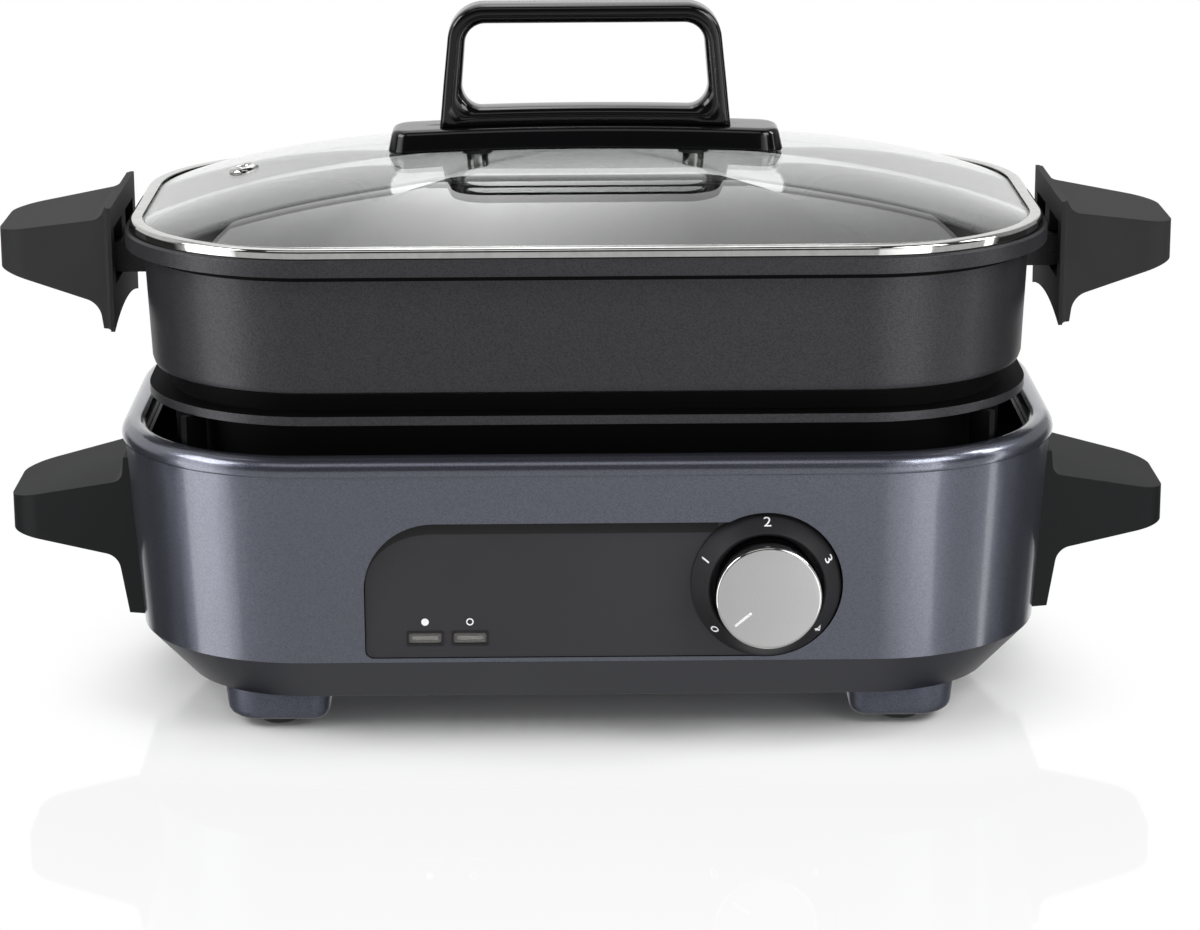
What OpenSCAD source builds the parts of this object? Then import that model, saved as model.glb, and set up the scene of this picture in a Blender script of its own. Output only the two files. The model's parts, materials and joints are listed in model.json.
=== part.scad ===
// Countertop multicooker: a heated base, a lift-out deep pan and a lift-off glass lid.
// Millimetres, +Z up, front towards -Y, origin on the table under the middle of the base.

/* [Base] */
// Width of the housing at its top edge
body_w = 357.6; // [320:0.2:400]
// Depth of the housing at its top edge
body_d = 213.2; // [195:0.2:250]
// Corner radius of the housing at its top edge
body_r = 72; // [64:1:80]
// How far each wall leans in from its top edge to its bottom edge
body_draft = 5; // [2:0.5:7]
// Height of the housing wall
housing_h = 73.5; // [70:0.5:90]
// Thickness of the housing wall
housing_wall = 2.4; // [1.8:0.1:3]
// Height of the sloping band under the housing
band_h = 19; // [14:0.5:24]
// How far the sloping band runs in
band_in = 17.5; // [12:0.5:20]
// Thickness of the bottom cover
cover_wall = 2.2; // [1.6:0.1:3]

/* [Feet] */
// Height of the underside above the table
underside_z = 16; // [13:0.5:22]
// Width of a foot block
foot_w = 42; // [34:1:48]
// Depth of a foot block
foot_d = 34; // [28:1:38]
// Distance from a foot block's centre in to the housing's lower side edge
foot_in_x = 53.8; // [48:0.2:66]
// Distance from a foot block's centre in to the housing's lower front edge
foot_in_y = 39.6; // [37:0.2:46]
// Radius of a rubber foot
pad_r = 8; // [6:0.5:10]
// How far a rubber foot stands below its block
pad_drop = 4; // [2:0.5:6]

/* [Top ring and well] */
// How far the top ring stands out past the housing
ring_out = 1.2; // [0.4:0.2:2]
// Width of the top ring
ring_w = 9; // [8:0.5:10]
// Radius of the top ring's rounded section
ring_round = 5.5; // [5:0.1:6.5]
// Depth of the ring's inner skirt below the seam
skirt_h = 8.5; // [6:0.5:11]
// Thickness of the well tray
tray_wall = 1.4; // [1:0.1:2]
// Depth of the tray floor below the seam
well_depth = 22.5; // [20:0.5:24]
// Height of the pan's seat above the seam
seat_rise = 17.1; // [14:0.1:20]
// Width of a corner rib that carries the pan
rib_w = 3; // [2:0.5:5]

/* [Heater] */
// Radius of the tubular heating element
element_r = 3.5; // [3:0.1:4]
// Width of the element's loop between tube centres
element_w = 250; // [220:1:270]
// Depth of the element's loop between tube centres
element_d = 124; // [104:1:130]
// Bend radius of the element's loop
element_bend = 38; // [30:1:45]
// Radius of the temperature sensor's cap
sensor_r = 11; // [9:0.5:13]
// Radius of the temperature sensor's stem
stem_r = 4; // [3:0.1:5]
// Travel of the temperature sensor
sensor_travel = 3; // [2:0.5:3.5]
// Wire diameter of the sensor spring
spring_wire = 1; // [0.8:0.1:1.2]
// Turns of the sensor spring
spring_turns = 4; // [3:1:5]

/* [Controls] */
// Sideways place of the knob
knob_x = 66; // [60:1:80]
// Height of the knob's centre
knob_z = 65; // [65:0.5:66]
// Radius of the knob's cap
knob_r = 19.6; // [17:0.1:20]
// Distance from the panel to the knob's face
knob_reach = 19.5; // [18:0.5:24]
// Angle of the knob's pointer at rest, clockwise from the top
off_angle = 230; // [220:1:240]
// Outer radius of the dial bezel
bezel_r = 28.2; // [27:0.1:28.4]
// Inner radius of the dial bezel
bezel_bore = 20.8; // [20.6:0.1:21.5]
// How far the bezel stands out of the panel
bezel_h = 9; // [6:0.5:10]
// Left end of the control panel
panel_x0 = -84; // [-90:1:-76]
// Height of the panel's lower edge
panel_z0 = 36.8; // [36:0.1:37]
// Height of the panel
panel_h = 53; // [48:0.5:55]
// Radius of the panel's upper left corner
panel_r = 26; // [20:1:30]
// Thickness of the panel
panel_t = 2.5; // [2:0.1:3]
// Width of an indicator light
light_w = 12.6; // [10:0.2:14]
// Height of an indicator light
light_h = 4.3; // [3.5:0.1:5]
// Spacing of the indicator lights
light_pitch = 16.8; // [16:0.2:20]

/* [Pan] */
// How far the pan's rim is set in from the housing's top edge
pan_set_in = 2.4; // [1:0.2:4]
// How much rounder the pan's rim is than the housing's corners
pan_rounder = 2; // [0:0.5:4]
// Height of the pan's rim band
rim_h = 6.4; // [5:0.2:8]
// How far the rim band stands out past the wall
rim_out = 6.9; // [5:0.1:8]
// Height of the pan's visible wall
wall_h = 46.5; // [40:0.5:60]
// How far the visible wall leans in towards its foot
wall_draft = 2; // [1:0.1:3]
// Thickness of the pan's casting
pan_wall = 3.4; // [3:0.1:4]
// Height of the neck between the wall and the seating flange
neck_h = 7.5; // [6:0.5:10]
// How far the neck is set in from the rim
neck_in = 16.4; // [15:0.1:18]
// Thickness of the seating flange
flange_t = 3.5; // [2.5:0.1:4.5]
// How far the seating flange is set in from the rim
flange_in = 7.4; // [6.6:0.1:8]
// Depth of the pan's foot below the seating flange
foot_depth = 21.4; // [20:0.1:22]

/* [Lid] */
// Thickness of the glass
glass_t = 4; // [3:0.5:4]
// Height of the glass dome above its edge
dome_h = 21; // [16:0.5:26]
// Width of the steel rim's section
lid_rim_w = 5; // [4:0.5:6]
// Height of the steel rim's section
lid_rim_h = 5.8; // [5.6:0.1:7]
// Steel thickness of the rim
lid_rim_t = 0.8; // [0.6:0.1:0.8]
// Depth of the pan's rebate that the lid sits in
rebate_h = 2.3; // [1.5:0.1:3]
// Length of the handle plate on the lid
plate_w = 153; // [130:1:165]
// Depth of the handle plate on the lid
plate_d = 29; // [24:0.5:32]
// Thickness of the handle plate on the lid
plate_t = 8.5; // [7:0.5:10]
// Width of the lid handle at its foot
bail_w = 112; // [104:1:118]
// Width of the lid handle at its top corners
bail_top_w = 103; // [98:1:104]
// Height of the lid handle above its plate
bail_h = 46.3; // [42:0.1:55]
// Depth of the lid handle
bail_d = 17; // [14:0.5:20]
// Thickness of the lid handle's top bar
bail_bar = 7.4; // [6:0.2:8]
// Thickness of the lid handle's side bars
bail_side = 5.9; // [5:0.1:7]
// Place of the steam vent, as a share of the way from the lid's middle to its left end
vent_share = 0.79; // [0.7:0.01:0.82]

/* [Side handles] */
// How far a handle's tip stands out past the housing's top edge
grip_out = 48.2; // [44:0.2:56]
// Thickness of a grip at its tip
grip_t = 13; // [11:0.5:15]
// Width of a grip at its tip, front to back
grip_w = 52; // [46:1:58]
// Radius of a grip's outer corners
grip_r = 15; // [8:0.5:18]
// Width that a handle tapers out to at the housing
root_w = 75; // [68:1:78]
// Height of a base grip's lower edge above the housing's bottom edge
grip_rise = 31; // [29:0.5:33]
// Height of the base handle's root
root_h = 63; // [58:1:66]
// How far the base handle's root stands out past the housing's top edge
root_out = 3.5; // [2.5:0.1:5]
// Width of the pan handle's open mouth
mouth_w = 78; // [76:1:84]
// Height of the pan handle's open mouth
mouth_h = 48.4; // [46:0.2:52]
// Gap between the pan's rim and the pan handle's mouth
mouth_gap = 4.6; // [3.6:0.1:6]
// Wall thickness of the pan handle
handle_wall = 3; // [2.5:0.1:3.5]

/* [Hidden] */
$fn = 64;

// Running and seating clearances
seat_gap = 0.3;
slip_gap = 0.15;
shaft_gap = 0.05;
// Overlap that makes two shapes of one piece fuse
fuse = 0.6;
// Length of a cut that passes right through a wall
through = 60;

// Heights up the base
body_z0 = underside_z + band_h;
seam_z = body_z0 + housing_h;
cover_w = body_w - 2 * body_draft;
cover_d = body_d - 2 * body_draft;
cover_r = body_r - body_draft;
foot_x = cover_w / 2 - foot_in_x;
foot_y = cover_d / 2 - foot_in_y;
ring_w_out = body_w + 2 * ring_out;
ring_d_out = body_d + 2 * ring_out;
ring_r = body_r + ring_out;
ring_mid_z = seam_z + ring_round * 0.31;

// Well, tray and ribs
tray_z = seam_z - well_depth;
tray_in = ring_w + slip_gap;
tray_w = ring_w_out - 2 * tray_in;
tray_d = ring_d_out - 2 * tray_in;
tray_r = ring_r - tray_in;
skirt_t = 2;
skirt_z = seam_z - skirt_h;
seat_z = seam_z + seat_rise;

// Pan outline and heights
pan_w = body_w - 2 * pan_set_in;
pan_d = body_d - 2 * pan_set_in;
pan_r = body_r + pan_rounder;
pan_foot_z = seat_z - foot_depth;
neck_z = seat_z + flange_t;
wall_z = neck_z + neck_h;
rim_z = wall_z + wall_h;
pan_top = rim_z + rim_h;
foot_in = neck_in + 1;
bore_in = rim_out + wall_draft + pan_wall;
floor_in = foot_in + pan_wall;

// Lid heights and outlines
lid_in = 1.9;
lid_w = pan_w - 2 * lid_in;
lid_d = pan_d - 2 * lid_in;
lid_r = pan_r - lid_in;
lid_z = pan_top - rebate_h + seat_gap;
glass_top = lid_z + lid_rim_t + slip_gap + glass_t;
glass_in = lid_rim_t + slip_gap;
dome_in = lid_rim_w + 0.4;
apex_z = glass_top + dome_h;
dome_power = 3;

// Front panel plane
panel_y = -(cover_d / 2 - 0.3);
panel_back = panel_y + panel_t;
panel_z1 = panel_z0 + panel_h;
panel_corner = 3;
light_x = panel_x0 + 22.4;
light_z = panel_z0 + 7.6;

// Heater heights
element_z = pan_foot_z - seat_gap - element_r;
cap_t = 3;
cap_z = pan_foot_z - seat_gap - cap_t;
guide_z = tray_z - 15;

// Tray posts and cover bosses
post_x = 104;
post_y = 44;
post_r = 6;
boss_x = body_w / 2 - 27;
boss_y = 22;
boss_r = 5;
boss_z = body_z0 + 6;
boss_h = 22;
screw_r = 1.8;
screw_head_r = 3.6;
screw_head_h = 2.4;

// Indicator board behind the panel
board_y = panel_back + 7;
board_post_r = 2.5;
board_post_out = light_w / 2 + board_post_r + 2;
board_t = 1.6;
lamp_r = 1.5;

// Knob stack, as distances in front of the panel
knob_gap = 1;
cap_depth = 9;
nut_r = 8;
nut_t = 3;
shaft_r = 3;
bush_r = 4.5;
hub_r = 6;
thermostat_y = panel_back + 9;

// Rear cord gland
gland_x = -110;
gland_z = body_z0 + 25;
gland_bore = 3.6;
gland_r = 7;
gland_flange = 9.5;
gland_len = 16;
gland_face = body_d / 2 - 1.2;

// Handle sections
handle_reach = body_w / 2 + grip_out;
grip_lean = atan((root_w - grip_w) / 2 / grip_out);
grip_z = body_z0 + grip_rise;
root_low = body_z0 + 0.3;
pan_grip_z = rim_z - 0.95 * grip_t;
mouth_x = pan_w / 2 + mouth_gap;
mouth_low = pan_grip_z - 0.462 * mouth_h;
mouth_high = pan_grip_z + 0.538 * mouth_h;
lug_w = 0.36 * mouth_w;
lug_h = 0.92 * grip_t;
lug_x = mouth_x + lug_h;
lug_z = pan_grip_z - 0.3 * grip_t;
handle_screw_x = mouth_x + lug_h / 2;
handle_screw_r = 2;
pan_screw_seat = pan_grip_z - 0.8 * grip_t;
root_x = body_w / 2 - body_draft - housing_wall - 6;

paint = [0.33, 0.34, 0.38];
dark_grey = [0.20, 0.20, 0.21];
black_plastic = [0.07, 0.07, 0.075];
cast_grey = [0.19, 0.19, 0.20];
steel = [0.75, 0.75, 0.74];
glass_tint = [0.80, 0.84, 0.84, 0.4];

// A filled rounded rectangle
module rounded(w, d, r) {
    square([w - 2 * r, d], center = true);
    square([w, d - 2 * r], center = true);
    for (x = [-1, 1], y = [-1, 1])
        translate([x * (w / 2 - r), y * (d / 2 - r)]) circle(r);
}

// A flat plate with rounded corners
module plate(w, d, r, h) {
    linear_extrude(h) rounded(w, d, r);
}

// Carries a wall's section round a rounded rectangle; the section's x = 0 is the outline, outside is +x
module carry(w, d, r) {
    for (i = [0:3]) {
        a = i % 2 == 0 ? w : d;
        b = i % 2 == 0 ? d : w;
        rotate([0, 0, 90 * i]) {
            translate([a / 2, b / 2 - r, 0]) rotate([90, 0, 0]) linear_extrude(b - 2 * r) children();
            translate([a / 2 - r, b / 2 - r, 0]) rotate_extrude(angle = 90) translate([r, 0]) children();
        }
    }
}

// Puts its children at the four sign combinations of a place
module at_four(x, y) {
    for (i = [-1, 1], j = [-1, 1]) translate([i * x, j * y, 0]) children();
}

// A shape drawn in X and Z, extruded from y0 towards the back
module across(y0, length) {
    translate([0, y0 + length, 0]) rotate([90, 0, 0]) linear_extrude(length) children();
}

// A cylinder lying along Y, starting at y0
module y_rod(r, y0, length) {
    translate([0, y0, 0]) rotate([-90, 0, 0]) cylinder(r = r, h = length);
}

// The housing's outer form, filled
module housing_block(grow) {
    core = body_r - 8;
    carry(body_w, body_d, body_r)
        polygon([[-core - fuse, body_z0], [grow - body_draft, body_z0], [grow, seam_z],
            [-core - fuse, seam_z]]);
    translate([0, 0, body_z0]) plate(body_w - 2 * core, body_d - 2 * core, body_r - core, housing_h);
}

// Outline of the control panel with the round end under the dial, in X and Z
module panel_outline(grow) {
    right = knob_x;
    low = panel_z0 - grow;
    high = panel_z1 + grow;
    translate([panel_x0 + panel_r, panel_z1 - panel_r]) circle(panel_r + grow);
    translate([panel_x0 + panel_corner, panel_z0 + panel_corner]) circle(panel_corner + grow);
    translate([panel_x0 - grow, panel_z0 + panel_corner])
        square([right - panel_x0 + grow, panel_h - panel_corner - panel_r]);
    translate([panel_x0 + panel_corner, low]) square([right - panel_x0 - panel_corner, panel_h / 2]);
    translate([panel_x0 + panel_r, low]) square([right - panel_x0 - panel_r, high - low]);
    translate([knob_x, knob_z]) circle(bezel_r + 0.2 + grow);
}

// Windows for the two indicator lights, in X and Z
module light_windows(grow) {
    for (i = [0, 1])
        translate([light_x + i * light_pitch, light_z])
            square([light_w + 2 * grow, light_h + 2 * grow], center = true);
}

// Sheet housing with the panel's recess, the bosses and the gland's seat
module base_housing() color(paint) difference() {
    union() {
        carry(body_w, body_d, body_r)
            polygon([[0, seam_z], [-body_draft, body_z0], [-body_draft - housing_wall, body_z0],
                [-housing_wall, seam_z]]);
        intersection() {
            housing_block(0);
            across(-body_d / 2 - fuse, body_d / 2 + fuse + panel_back) panel_outline(slip_gap + housing_wall);
        }
        translate([gland_x, 0, gland_z])
            y_rod(gland_flange + 1.5, cover_d / 2 - housing_wall, gland_face - cover_d / 2 + housing_wall);
        at_four(boss_x, boss_y) {
            translate([0, 0, boss_z]) cylinder(r = boss_r, h = boss_h);
        }
        for (i = [-1, 1], j = [-1, 1])
            translate([i * (boss_x + cover_w / 2 - housing_wall / 2) / 2, j * boss_y, boss_z + boss_h / 2])
                cube([cover_w / 2 - housing_wall / 2 - boss_x, 3, boss_h], center = true);
    }
    across(-body_d / 2 - through / 2, through) panel_outline(slip_gap);
    translate([gland_x, 0, gland_z]) y_rod(gland_r + slip_gap, body_d / 2 - through / 2, through);
    at_four(boss_x, boss_y) translate([0, 0, boss_z - 1]) cylinder(r = screw_r, h = boss_h / 2 + 1);
    for (i = [-1, 1], z = [-1, 1])
        translate([i * body_w / 2, 0, base_screw_z(z)]) rotate([0, 90, 0])
            cylinder(r = handle_screw_r + slip_gap, h = through / 2, center = true);
}

// Rounded trim ring on the housing, with a skirt that lines the well
module top_ring() color(paint) carry(ring_w_out, ring_d_out, ring_r) {
    intersection() {
        translate([-ring_round, ring_mid_z]) circle(ring_round);
        translate([-ring_w, seam_z]) square([ring_w, 2 * ring_round]);
    }
    translate([-ring_w, skirt_z]) square([skirt_t, skirt_h + 1]);
}

// Floor with vents, the sloping band, and the posts that carry the tray
module bottom_cover() color(dark_grey) difference() {
    floor_w = cover_w - 2 * band_in;
    floor_d = cover_d - 2 * band_in;
    union() {
        carry(cover_w, cover_d, cover_r)
            polygon([[0, body_z0], [-band_in, underside_z], [-band_in - 4, underside_z],
                [-band_in - 4, underside_z + cover_wall], [-band_in, underside_z + cover_wall],
                [-cover_wall - 0.6, body_z0]]);
        translate([0, 0, underside_z])
            plate(floor_w - 6, floor_d - 6, cover_r - band_in - 3, cover_wall);
        at_four(post_x, post_y)
            translate([0, 0, underside_z + fuse]) cylinder(r = post_r, h = tray_z - underside_z - fuse);
        at_four(boss_x, boss_y)
            translate([0, 0, underside_z + fuse]) cylinder(r = boss_r, h = boss_z - underside_z - fuse);
    }
    for (i = [-6:6], y = [-1, 1])
        translate([i * 9, y * 22, underside_z]) cube([4, 26, 4 * cover_wall], center = true);
    at_four(post_x, post_y) translate([0, 0, tray_z - 14]) cylinder(r = screw_r, h = 15);
    at_four(boss_x, boss_y) {
        translate([0, 0, underside_z - 1]) cylinder(r = screw_r + slip_gap, h = through);
        translate([0, 0, underside_z - 1]) cylinder(r = screw_head_r + slip_gap, h = 1 + screw_head_h + 1);
    }
}

// Black heat tray in the well, with corner ribs that carry the pan's seating flange
module well_tray() color(black_plastic) difference() {
    union() {
        carry(tray_w, tray_d, tray_r)
            polygon([[0, seam_z - 1], [-tray_wall, seam_z - 1], [-tray_wall - 2, tray_z + tray_wall + 4],
                [-tray_wall - 6, tray_z + tray_wall], [-tray_wall - 9, tray_z + tray_wall],
                [-tray_wall - 9, tray_z], [-5, tray_z], [-2, tray_z + 4],
                [-0.8, skirt_z - tray_wall], [skirt_t + slip_gap, skirt_z - tray_wall],
                [skirt_t + slip_gap, skirt_z], [0, skirt_z]]);
        translate([0, 0, tray_z])
            plate(tray_w - 2 * (tray_wall + 8), tray_d - 2 * (tray_wall + 8),
                tray_r - tray_wall - 8, tray_wall);
        for (i = [-1, 1], j = [-1, 1])
            translate([i * (tray_w / 2 - tray_r), j * (tray_d / 2 - tray_r), 0])
                rotate([0, 0, j * (90 - i * 45)])
                    translate([tray_r - rib_depth() - tray_wall, -rib_w / 2, tray_z + tray_wall / 2])
                        cube([rib_depth() + tray_wall / 2, rib_w, seat_z - seat_gap - tray_z - tray_wall / 2]);
    }
    at_four(post_x, post_y) translate([0, 0, tray_z - 1]) cylinder(r = screw_r + slip_gap, h = 4);
    translate([0, 0, tray_z - 1]) cylinder(r = stem_r + 2, h = 4);
    for (i = [-1, 1])
        translate([i * element_end(), element_d / 2, tray_z - 1]) cylinder(r = element_r + 1.4, h = 4);
}

// Screws that hold the tray to its posts
module tray_screws() color(steel) at_four(post_x, post_y) {
    translate([0, 0, tray_z - 12]) cylinder(r = screw_r - 0.03, h = 12 + tray_wall);
    translate([0, 0, tray_z + tray_wall]) cylinder(r = screw_head_r, h = screw_head_h);
}

// Screws that hold the bottom cover to the housing
module cover_screws() color(steel) at_four(boss_x, boss_y) {
    translate([0, 0, underside_z + 1]) cylinder(r = screw_head_r, h = screw_head_h);
    translate([0, 0, underside_z + 1]) cylinder(r = screw_r - 0.03, h = boss_z - underside_z + 8);
}

// Four foot blocks under the cover
module foot_blocks() color(paint) at_four(foot_x, foot_y) difference() {
    translate([0, 0, pad_drop]) plate(foot_w, foot_d, 10, underside_z - pad_drop);
    translate([0, 0, pad_drop - 1]) cylinder(r = pad_r + slip_gap, h = 4);
}

// Rubber feet let into the blocks
module rubber_feet() color(black_plastic) at_four(foot_x, foot_y) {
    cylinder(r1 = pad_r - 1, r2 = pad_r, h = 1.2);
    translate([0, 0, 1.2]) cylinder(r = pad_r, h = pad_drop + 1.8);
}

// Upright control panel in the housing's recess, with posts for the indicator board
module control_panel() color([0.2, 0.19, 0.21]) difference() {
    union() {
        across(panel_y, panel_t) panel_outline(0);
        for (x = [-board_post_out, light_pitch + board_post_out])
            translate([light_x + x, 0, light_z])
                y_rod(board_post_r, panel_back - fuse, board_y - panel_back + fuse);
    }
    across(panel_y - through / 2, through) light_windows(slip_gap);
    translate([knob_x, 0, knob_z]) y_rod(bush_r + slip_gap, panel_y - 5, panel_t + 10);
}

// Cone-sided dial ring round the knob
module dial_bezel() color(dark_grey) translate([knob_x, panel_y, knob_z]) rotate([90, 0, 0])
    rotate_extrude() polygon([[bezel_bore, 0], [bezel_r, 0], [bezel_r, 0.8],
        [bezel_bore + 1.2, bezel_h], [bezel_bore, bezel_h - 0.8]]);

// One clear indicator lens with a stop behind the panel
module indicator(index) color([0.75, 0.75, 0.7]) translate([light_x + index * light_pitch, 0, light_z]) {
    translate([0, panel_y + panel_t / 2 + 0.2, 0]) cube([light_w, panel_t - 0.4, light_h], center = true);
    translate([0, panel_back + 0.6, 0]) cube([light_w + 2, 1.2, light_h + 2], center = true);
}

module power_light() indicator(0);

module ready_light() indicator(1);

// Small circuit board with the two lamps
module indicator_board() color([0.25, 0.35, 0.25]) {
    translate([light_x + light_pitch / 2, board_y + board_t / 2, light_z])
        cube([light_pitch + 2 * (board_post_out + board_post_r), board_t, 11], center = true);
    for (i = [0, 1])
        translate([light_x + i * light_pitch, 0, light_z])
            y_rod(lamp_r, panel_back + 1.4, board_y - panel_back - 1.4 + fuse);
}

// Rotary thermostat behind the panel, with its bush
module thermostat() color(steel) translate([knob_x, 0, knob_z]) difference() {
    union() {
        translate([0, thermostat_y + 11, 0]) cube([34, 22, 26], center = true);
        y_rod(bush_r + 2, panel_back, thermostat_y - panel_back + fuse);
        y_rod(bush_r, panel_y - nut_t - 0.6, thermostat_y - panel_y + nut_t + 1.2);
        for (x = [-1, 1])
            translate([x * 11, thermostat_y + 25, 4]) cube([6.3, 8, 0.8], center = true);
    }
    y_rod(shaft_r + shaft_gap, panel_y - nut_t - 2, thermostat_y - panel_y + nut_t + 2 + 12);
}

// Nut that clamps the panel to the thermostat's bush
module thermostat_nut() color(steel) translate([knob_x, 0, knob_z]) difference() {
    translate([0, panel_y, 0]) rotate([90, 0, 0]) cylinder(r = nut_r, h = nut_t, $fn = 6);
    y_rod(bush_r + 0.02, panel_y - nut_t - 1, nut_t + 2);
}

// Spindle of the thermostat, turned by the knob
module thermostat_shaft() color(steel) translate([knob_x, 0, knob_z])
    y_rod(shaft_r, panel_y - knob_reach + 4, knob_reach - 4 + panel_t + 9 + 8);

// Black skirt of the knob with its hub
module knob_base() color(black_plastic) translate([knob_x, 0, knob_z]) difference() {
    y_rod(knob_r - 1, panel_y - knob_reach + cap_depth, knob_reach - cap_depth - knob_gap);
    difference() {
        y_rod(knob_r - 4, panel_y - knob_reach + cap_depth + 3, knob_reach);
        y_rod(hub_r, panel_y - knob_reach, knob_reach - nut_t - 1.6);
    }
    y_rod(shaft_r + 0.02, panel_y - knob_reach - 1, knob_reach + 2);
}

// Bright metal cap on the knob, with a rounded front edge
module knob_cap() color(steel) translate([knob_x, 0, knob_z]) difference() {
    translate([0, panel_y - knob_reach + cap_depth, 0]) rotate([90, 0, 0]) rotate_extrude() {
        square([knob_r, cap_depth - 1]);
        square([knob_r - 1, cap_depth]);
        translate([knob_r - 1, cap_depth - 1]) circle(1);
    }
    y_rod(shaft_r + 0.02, panel_y - knob_reach + 3.9, cap_depth);
}

// Raised pointer on the knob's face
module knob_pointer() color("white") translate([knob_x, panel_y - knob_reach, knob_z])
    rotate([0, off_angle, 0]) translate([0, -0.2, knob_r * 0.63]) cube([1, 0.4, knob_r * 0.4], center = true);

// Half the gap between the element's two ends
function element_end() = 12;

// Tubular heating element: one loop, open at the back, with its ends turned down through the tray
module heating_element() color([0.3, 0.29, 0.28]) {
    difference() {
        translate([0, 0, element_z]) carry(element_w, element_d, element_bend) circle(element_r);
        translate([0, element_d / 2, element_z])
            cube([2 * element_end(), 4 * element_r, 4 * element_r], center = true);
    }
    for (i = [-1, 1])
        translate([i * element_end(), element_d / 2, 0]) {
            translate([0, 0, element_z]) sphere(element_r);
            translate([0, 0, tray_z - 12]) cylinder(r = element_r, h = element_z - tray_z + 12);
            translate([0, 0, tray_z - 24]) cylinder(r = 1.6, h = 13);
        }
}

// Saddles that carry the element above the tray
module element_clips() color(steel) {
    for (i = [-1, 1])
        saddle(i * element_w / 2, 0, 90);
    for (i = [-1, 1])
        saddle(i * element_w / 5, -element_d / 2, 0);
}

// One saddle with a groove for the tube, which runs at the angle given
module saddle(x, y, angle) translate([x, y, 0]) rotate([0, 0, angle]) difference() {
    translate([0, 0, (tray_z + tray_wall + element_z + 1) / 2])
        cube([4, 4 * element_r, element_z + 1 - tray_z - tray_wall], center = true);
    translate([0, 0, element_z]) rotate([0, 90, 0])
        cylinder(r = element_r + 0.05, h = 10, center = true);
}

// Ceramic collars where the element passes the tray
module element_insulators() color("white") for (i = [-1, 1])
    translate([i * element_end(), element_d / 2, 0]) difference() {
        union() {
            translate([0, 0, tray_z - 8]) cylinder(r = element_r + 1.3, h = 8 + tray_wall);
            translate([0, 0, tray_z - 8]) cylinder(r = element_r + 4, h = 8);
        }
        translate([0, 0, tray_z - 9]) cylinder(r = element_r + 0.05, h = 12 + tray_wall);
    }

// Guide tube of the temperature sensor, under the tray
module sensor_guide() color(steel) difference() {
    union() {
        translate([0, 0, guide_z]) cylinder(r = stem_r + 3, h = tray_z - guide_z);
        translate([0, 0, tray_z - 2]) cylinder(r = stem_r + 9, h = 2);
    }
    translate([0, 0, guide_z - 1]) cylinder(r = stem_r + shaft_gap, h = through);
}

// Spring-loaded sensor that touches the pan's foot
module sensor_plunger() color(steel) {
    translate([0, 0, cap_z]) cylinder(r = sensor_r, h = cap_t);
    translate([0, 0, guide_z - 3]) cylinder(r = stem_r, h = cap_z - guide_z + 3);
    translate([0, 0, guide_z - 3]) cylinder(r = stem_r + 1.6, h = 2.4);
}

// Points of the spring's centre line, with flat ends
spring_r = stem_r + 2 + spring_wire;
spring_low = tray_z + tray_wall + spring_wire / 2 + 0.1;
spring_high = cap_z - spring_wire / 2 - 0.1;
spring_rings = 12 * spring_turns;
spring_sides = 6;
function spring_point(i) =
    let (t = i / spring_rings, a = 360 * spring_turns * t)
    [spring_r * cos(a), spring_r * sin(a), spring_low + (spring_high - spring_low) * t];
function spring_corner(i, k) =
    let (p = spring_point(i), a = 360 * spring_turns * i / spring_rings, b = 360 * k / spring_sides)
    p + spring_wire / 2 * [cos(b) * cos(a), cos(b) * sin(a), sin(b)];
spring_pitch = (spring_high - spring_low) / spring_turns;
echo(spring_gap = spring_pitch - spring_wire);

// Helical spring between the tray and the sensor's cap
module sensor_spring() color(steel) polyhedron(
    points = concat([for (i = [0:spring_rings], k = [0:spring_sides - 1]) spring_corner(i, k)],
        [spring_point(0), spring_point(spring_rings)]),
    faces = concat(
        [for (i = [0:spring_rings - 1], k = [0:spring_sides - 1], h = [0, 1])
            let (a = i * spring_sides + k, b = i * spring_sides + (k + 1) % spring_sides)
            h == 0 ? [a, b, b + spring_sides] : [a, b + spring_sides, a + spring_sides]],
        [for (k = [0:spring_sides - 1])
            [(spring_rings + 1) * spring_sides, (k + 1) % spring_sides, k]],
        [for (k = [0:spring_sides - 1]) let (s = spring_rings * spring_sides)
            [s + spring_sides + 1, s + k, s + (k + 1) % spring_sides]]));

// Thermal fuse clipped under the tray
module thermal_fuse() color(steel) translate([60, 20, tray_z]) {
    translate([0, 0, -1]) cube([30, 12, 2], center = true);
    translate([-11, 0, -5]) rotate([0, 90, 0]) cylinder(r = 3.4, h = 22);
}

// Terminal block on the cover's floor, beside the gland
module terminal_block() color([0.85, 0.84, 0.8]) difference() {
    translate([gland_x + 26, 40, underside_z + cover_wall + 8]) cube([24, 30, 16], center = true);
    for (j = [-1, 0, 1])
        translate([gland_x + 26, 40 + j * 9, underside_z + cover_wall + 6]) cylinder(r = 2.4, h = 20);
}

// Cord gland in the rear wall
module cord_gland() color(black_plastic) translate([gland_x, 0, gland_z]) difference() {
    union() {
        y_rod(gland_r, gland_face - gland_len + 3.5, gland_len - 3);
        y_rod(gland_flange, gland_face, 3.5);
    }
    y_rod(gland_bore, gland_face - gland_len, gland_len + 10);
}

// Height of a base handle's screw, lower (-1) or upper (+1)
function base_screw_z(i) = grip_z + 0.3 * grip_t + i * 0.22 * root_h;
// Depth of a base handle's screw hole, from the housing's top edge, lower (-1) or upper (+1)
function base_screw_depth(i) = i < 0 ? 0 : 1.5 * root_out;

// Half the width of a handle's tapered plan at x
function grip_half(x) = grip_w / 2 + (handle_reach - x) * tan(grip_lean);

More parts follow.
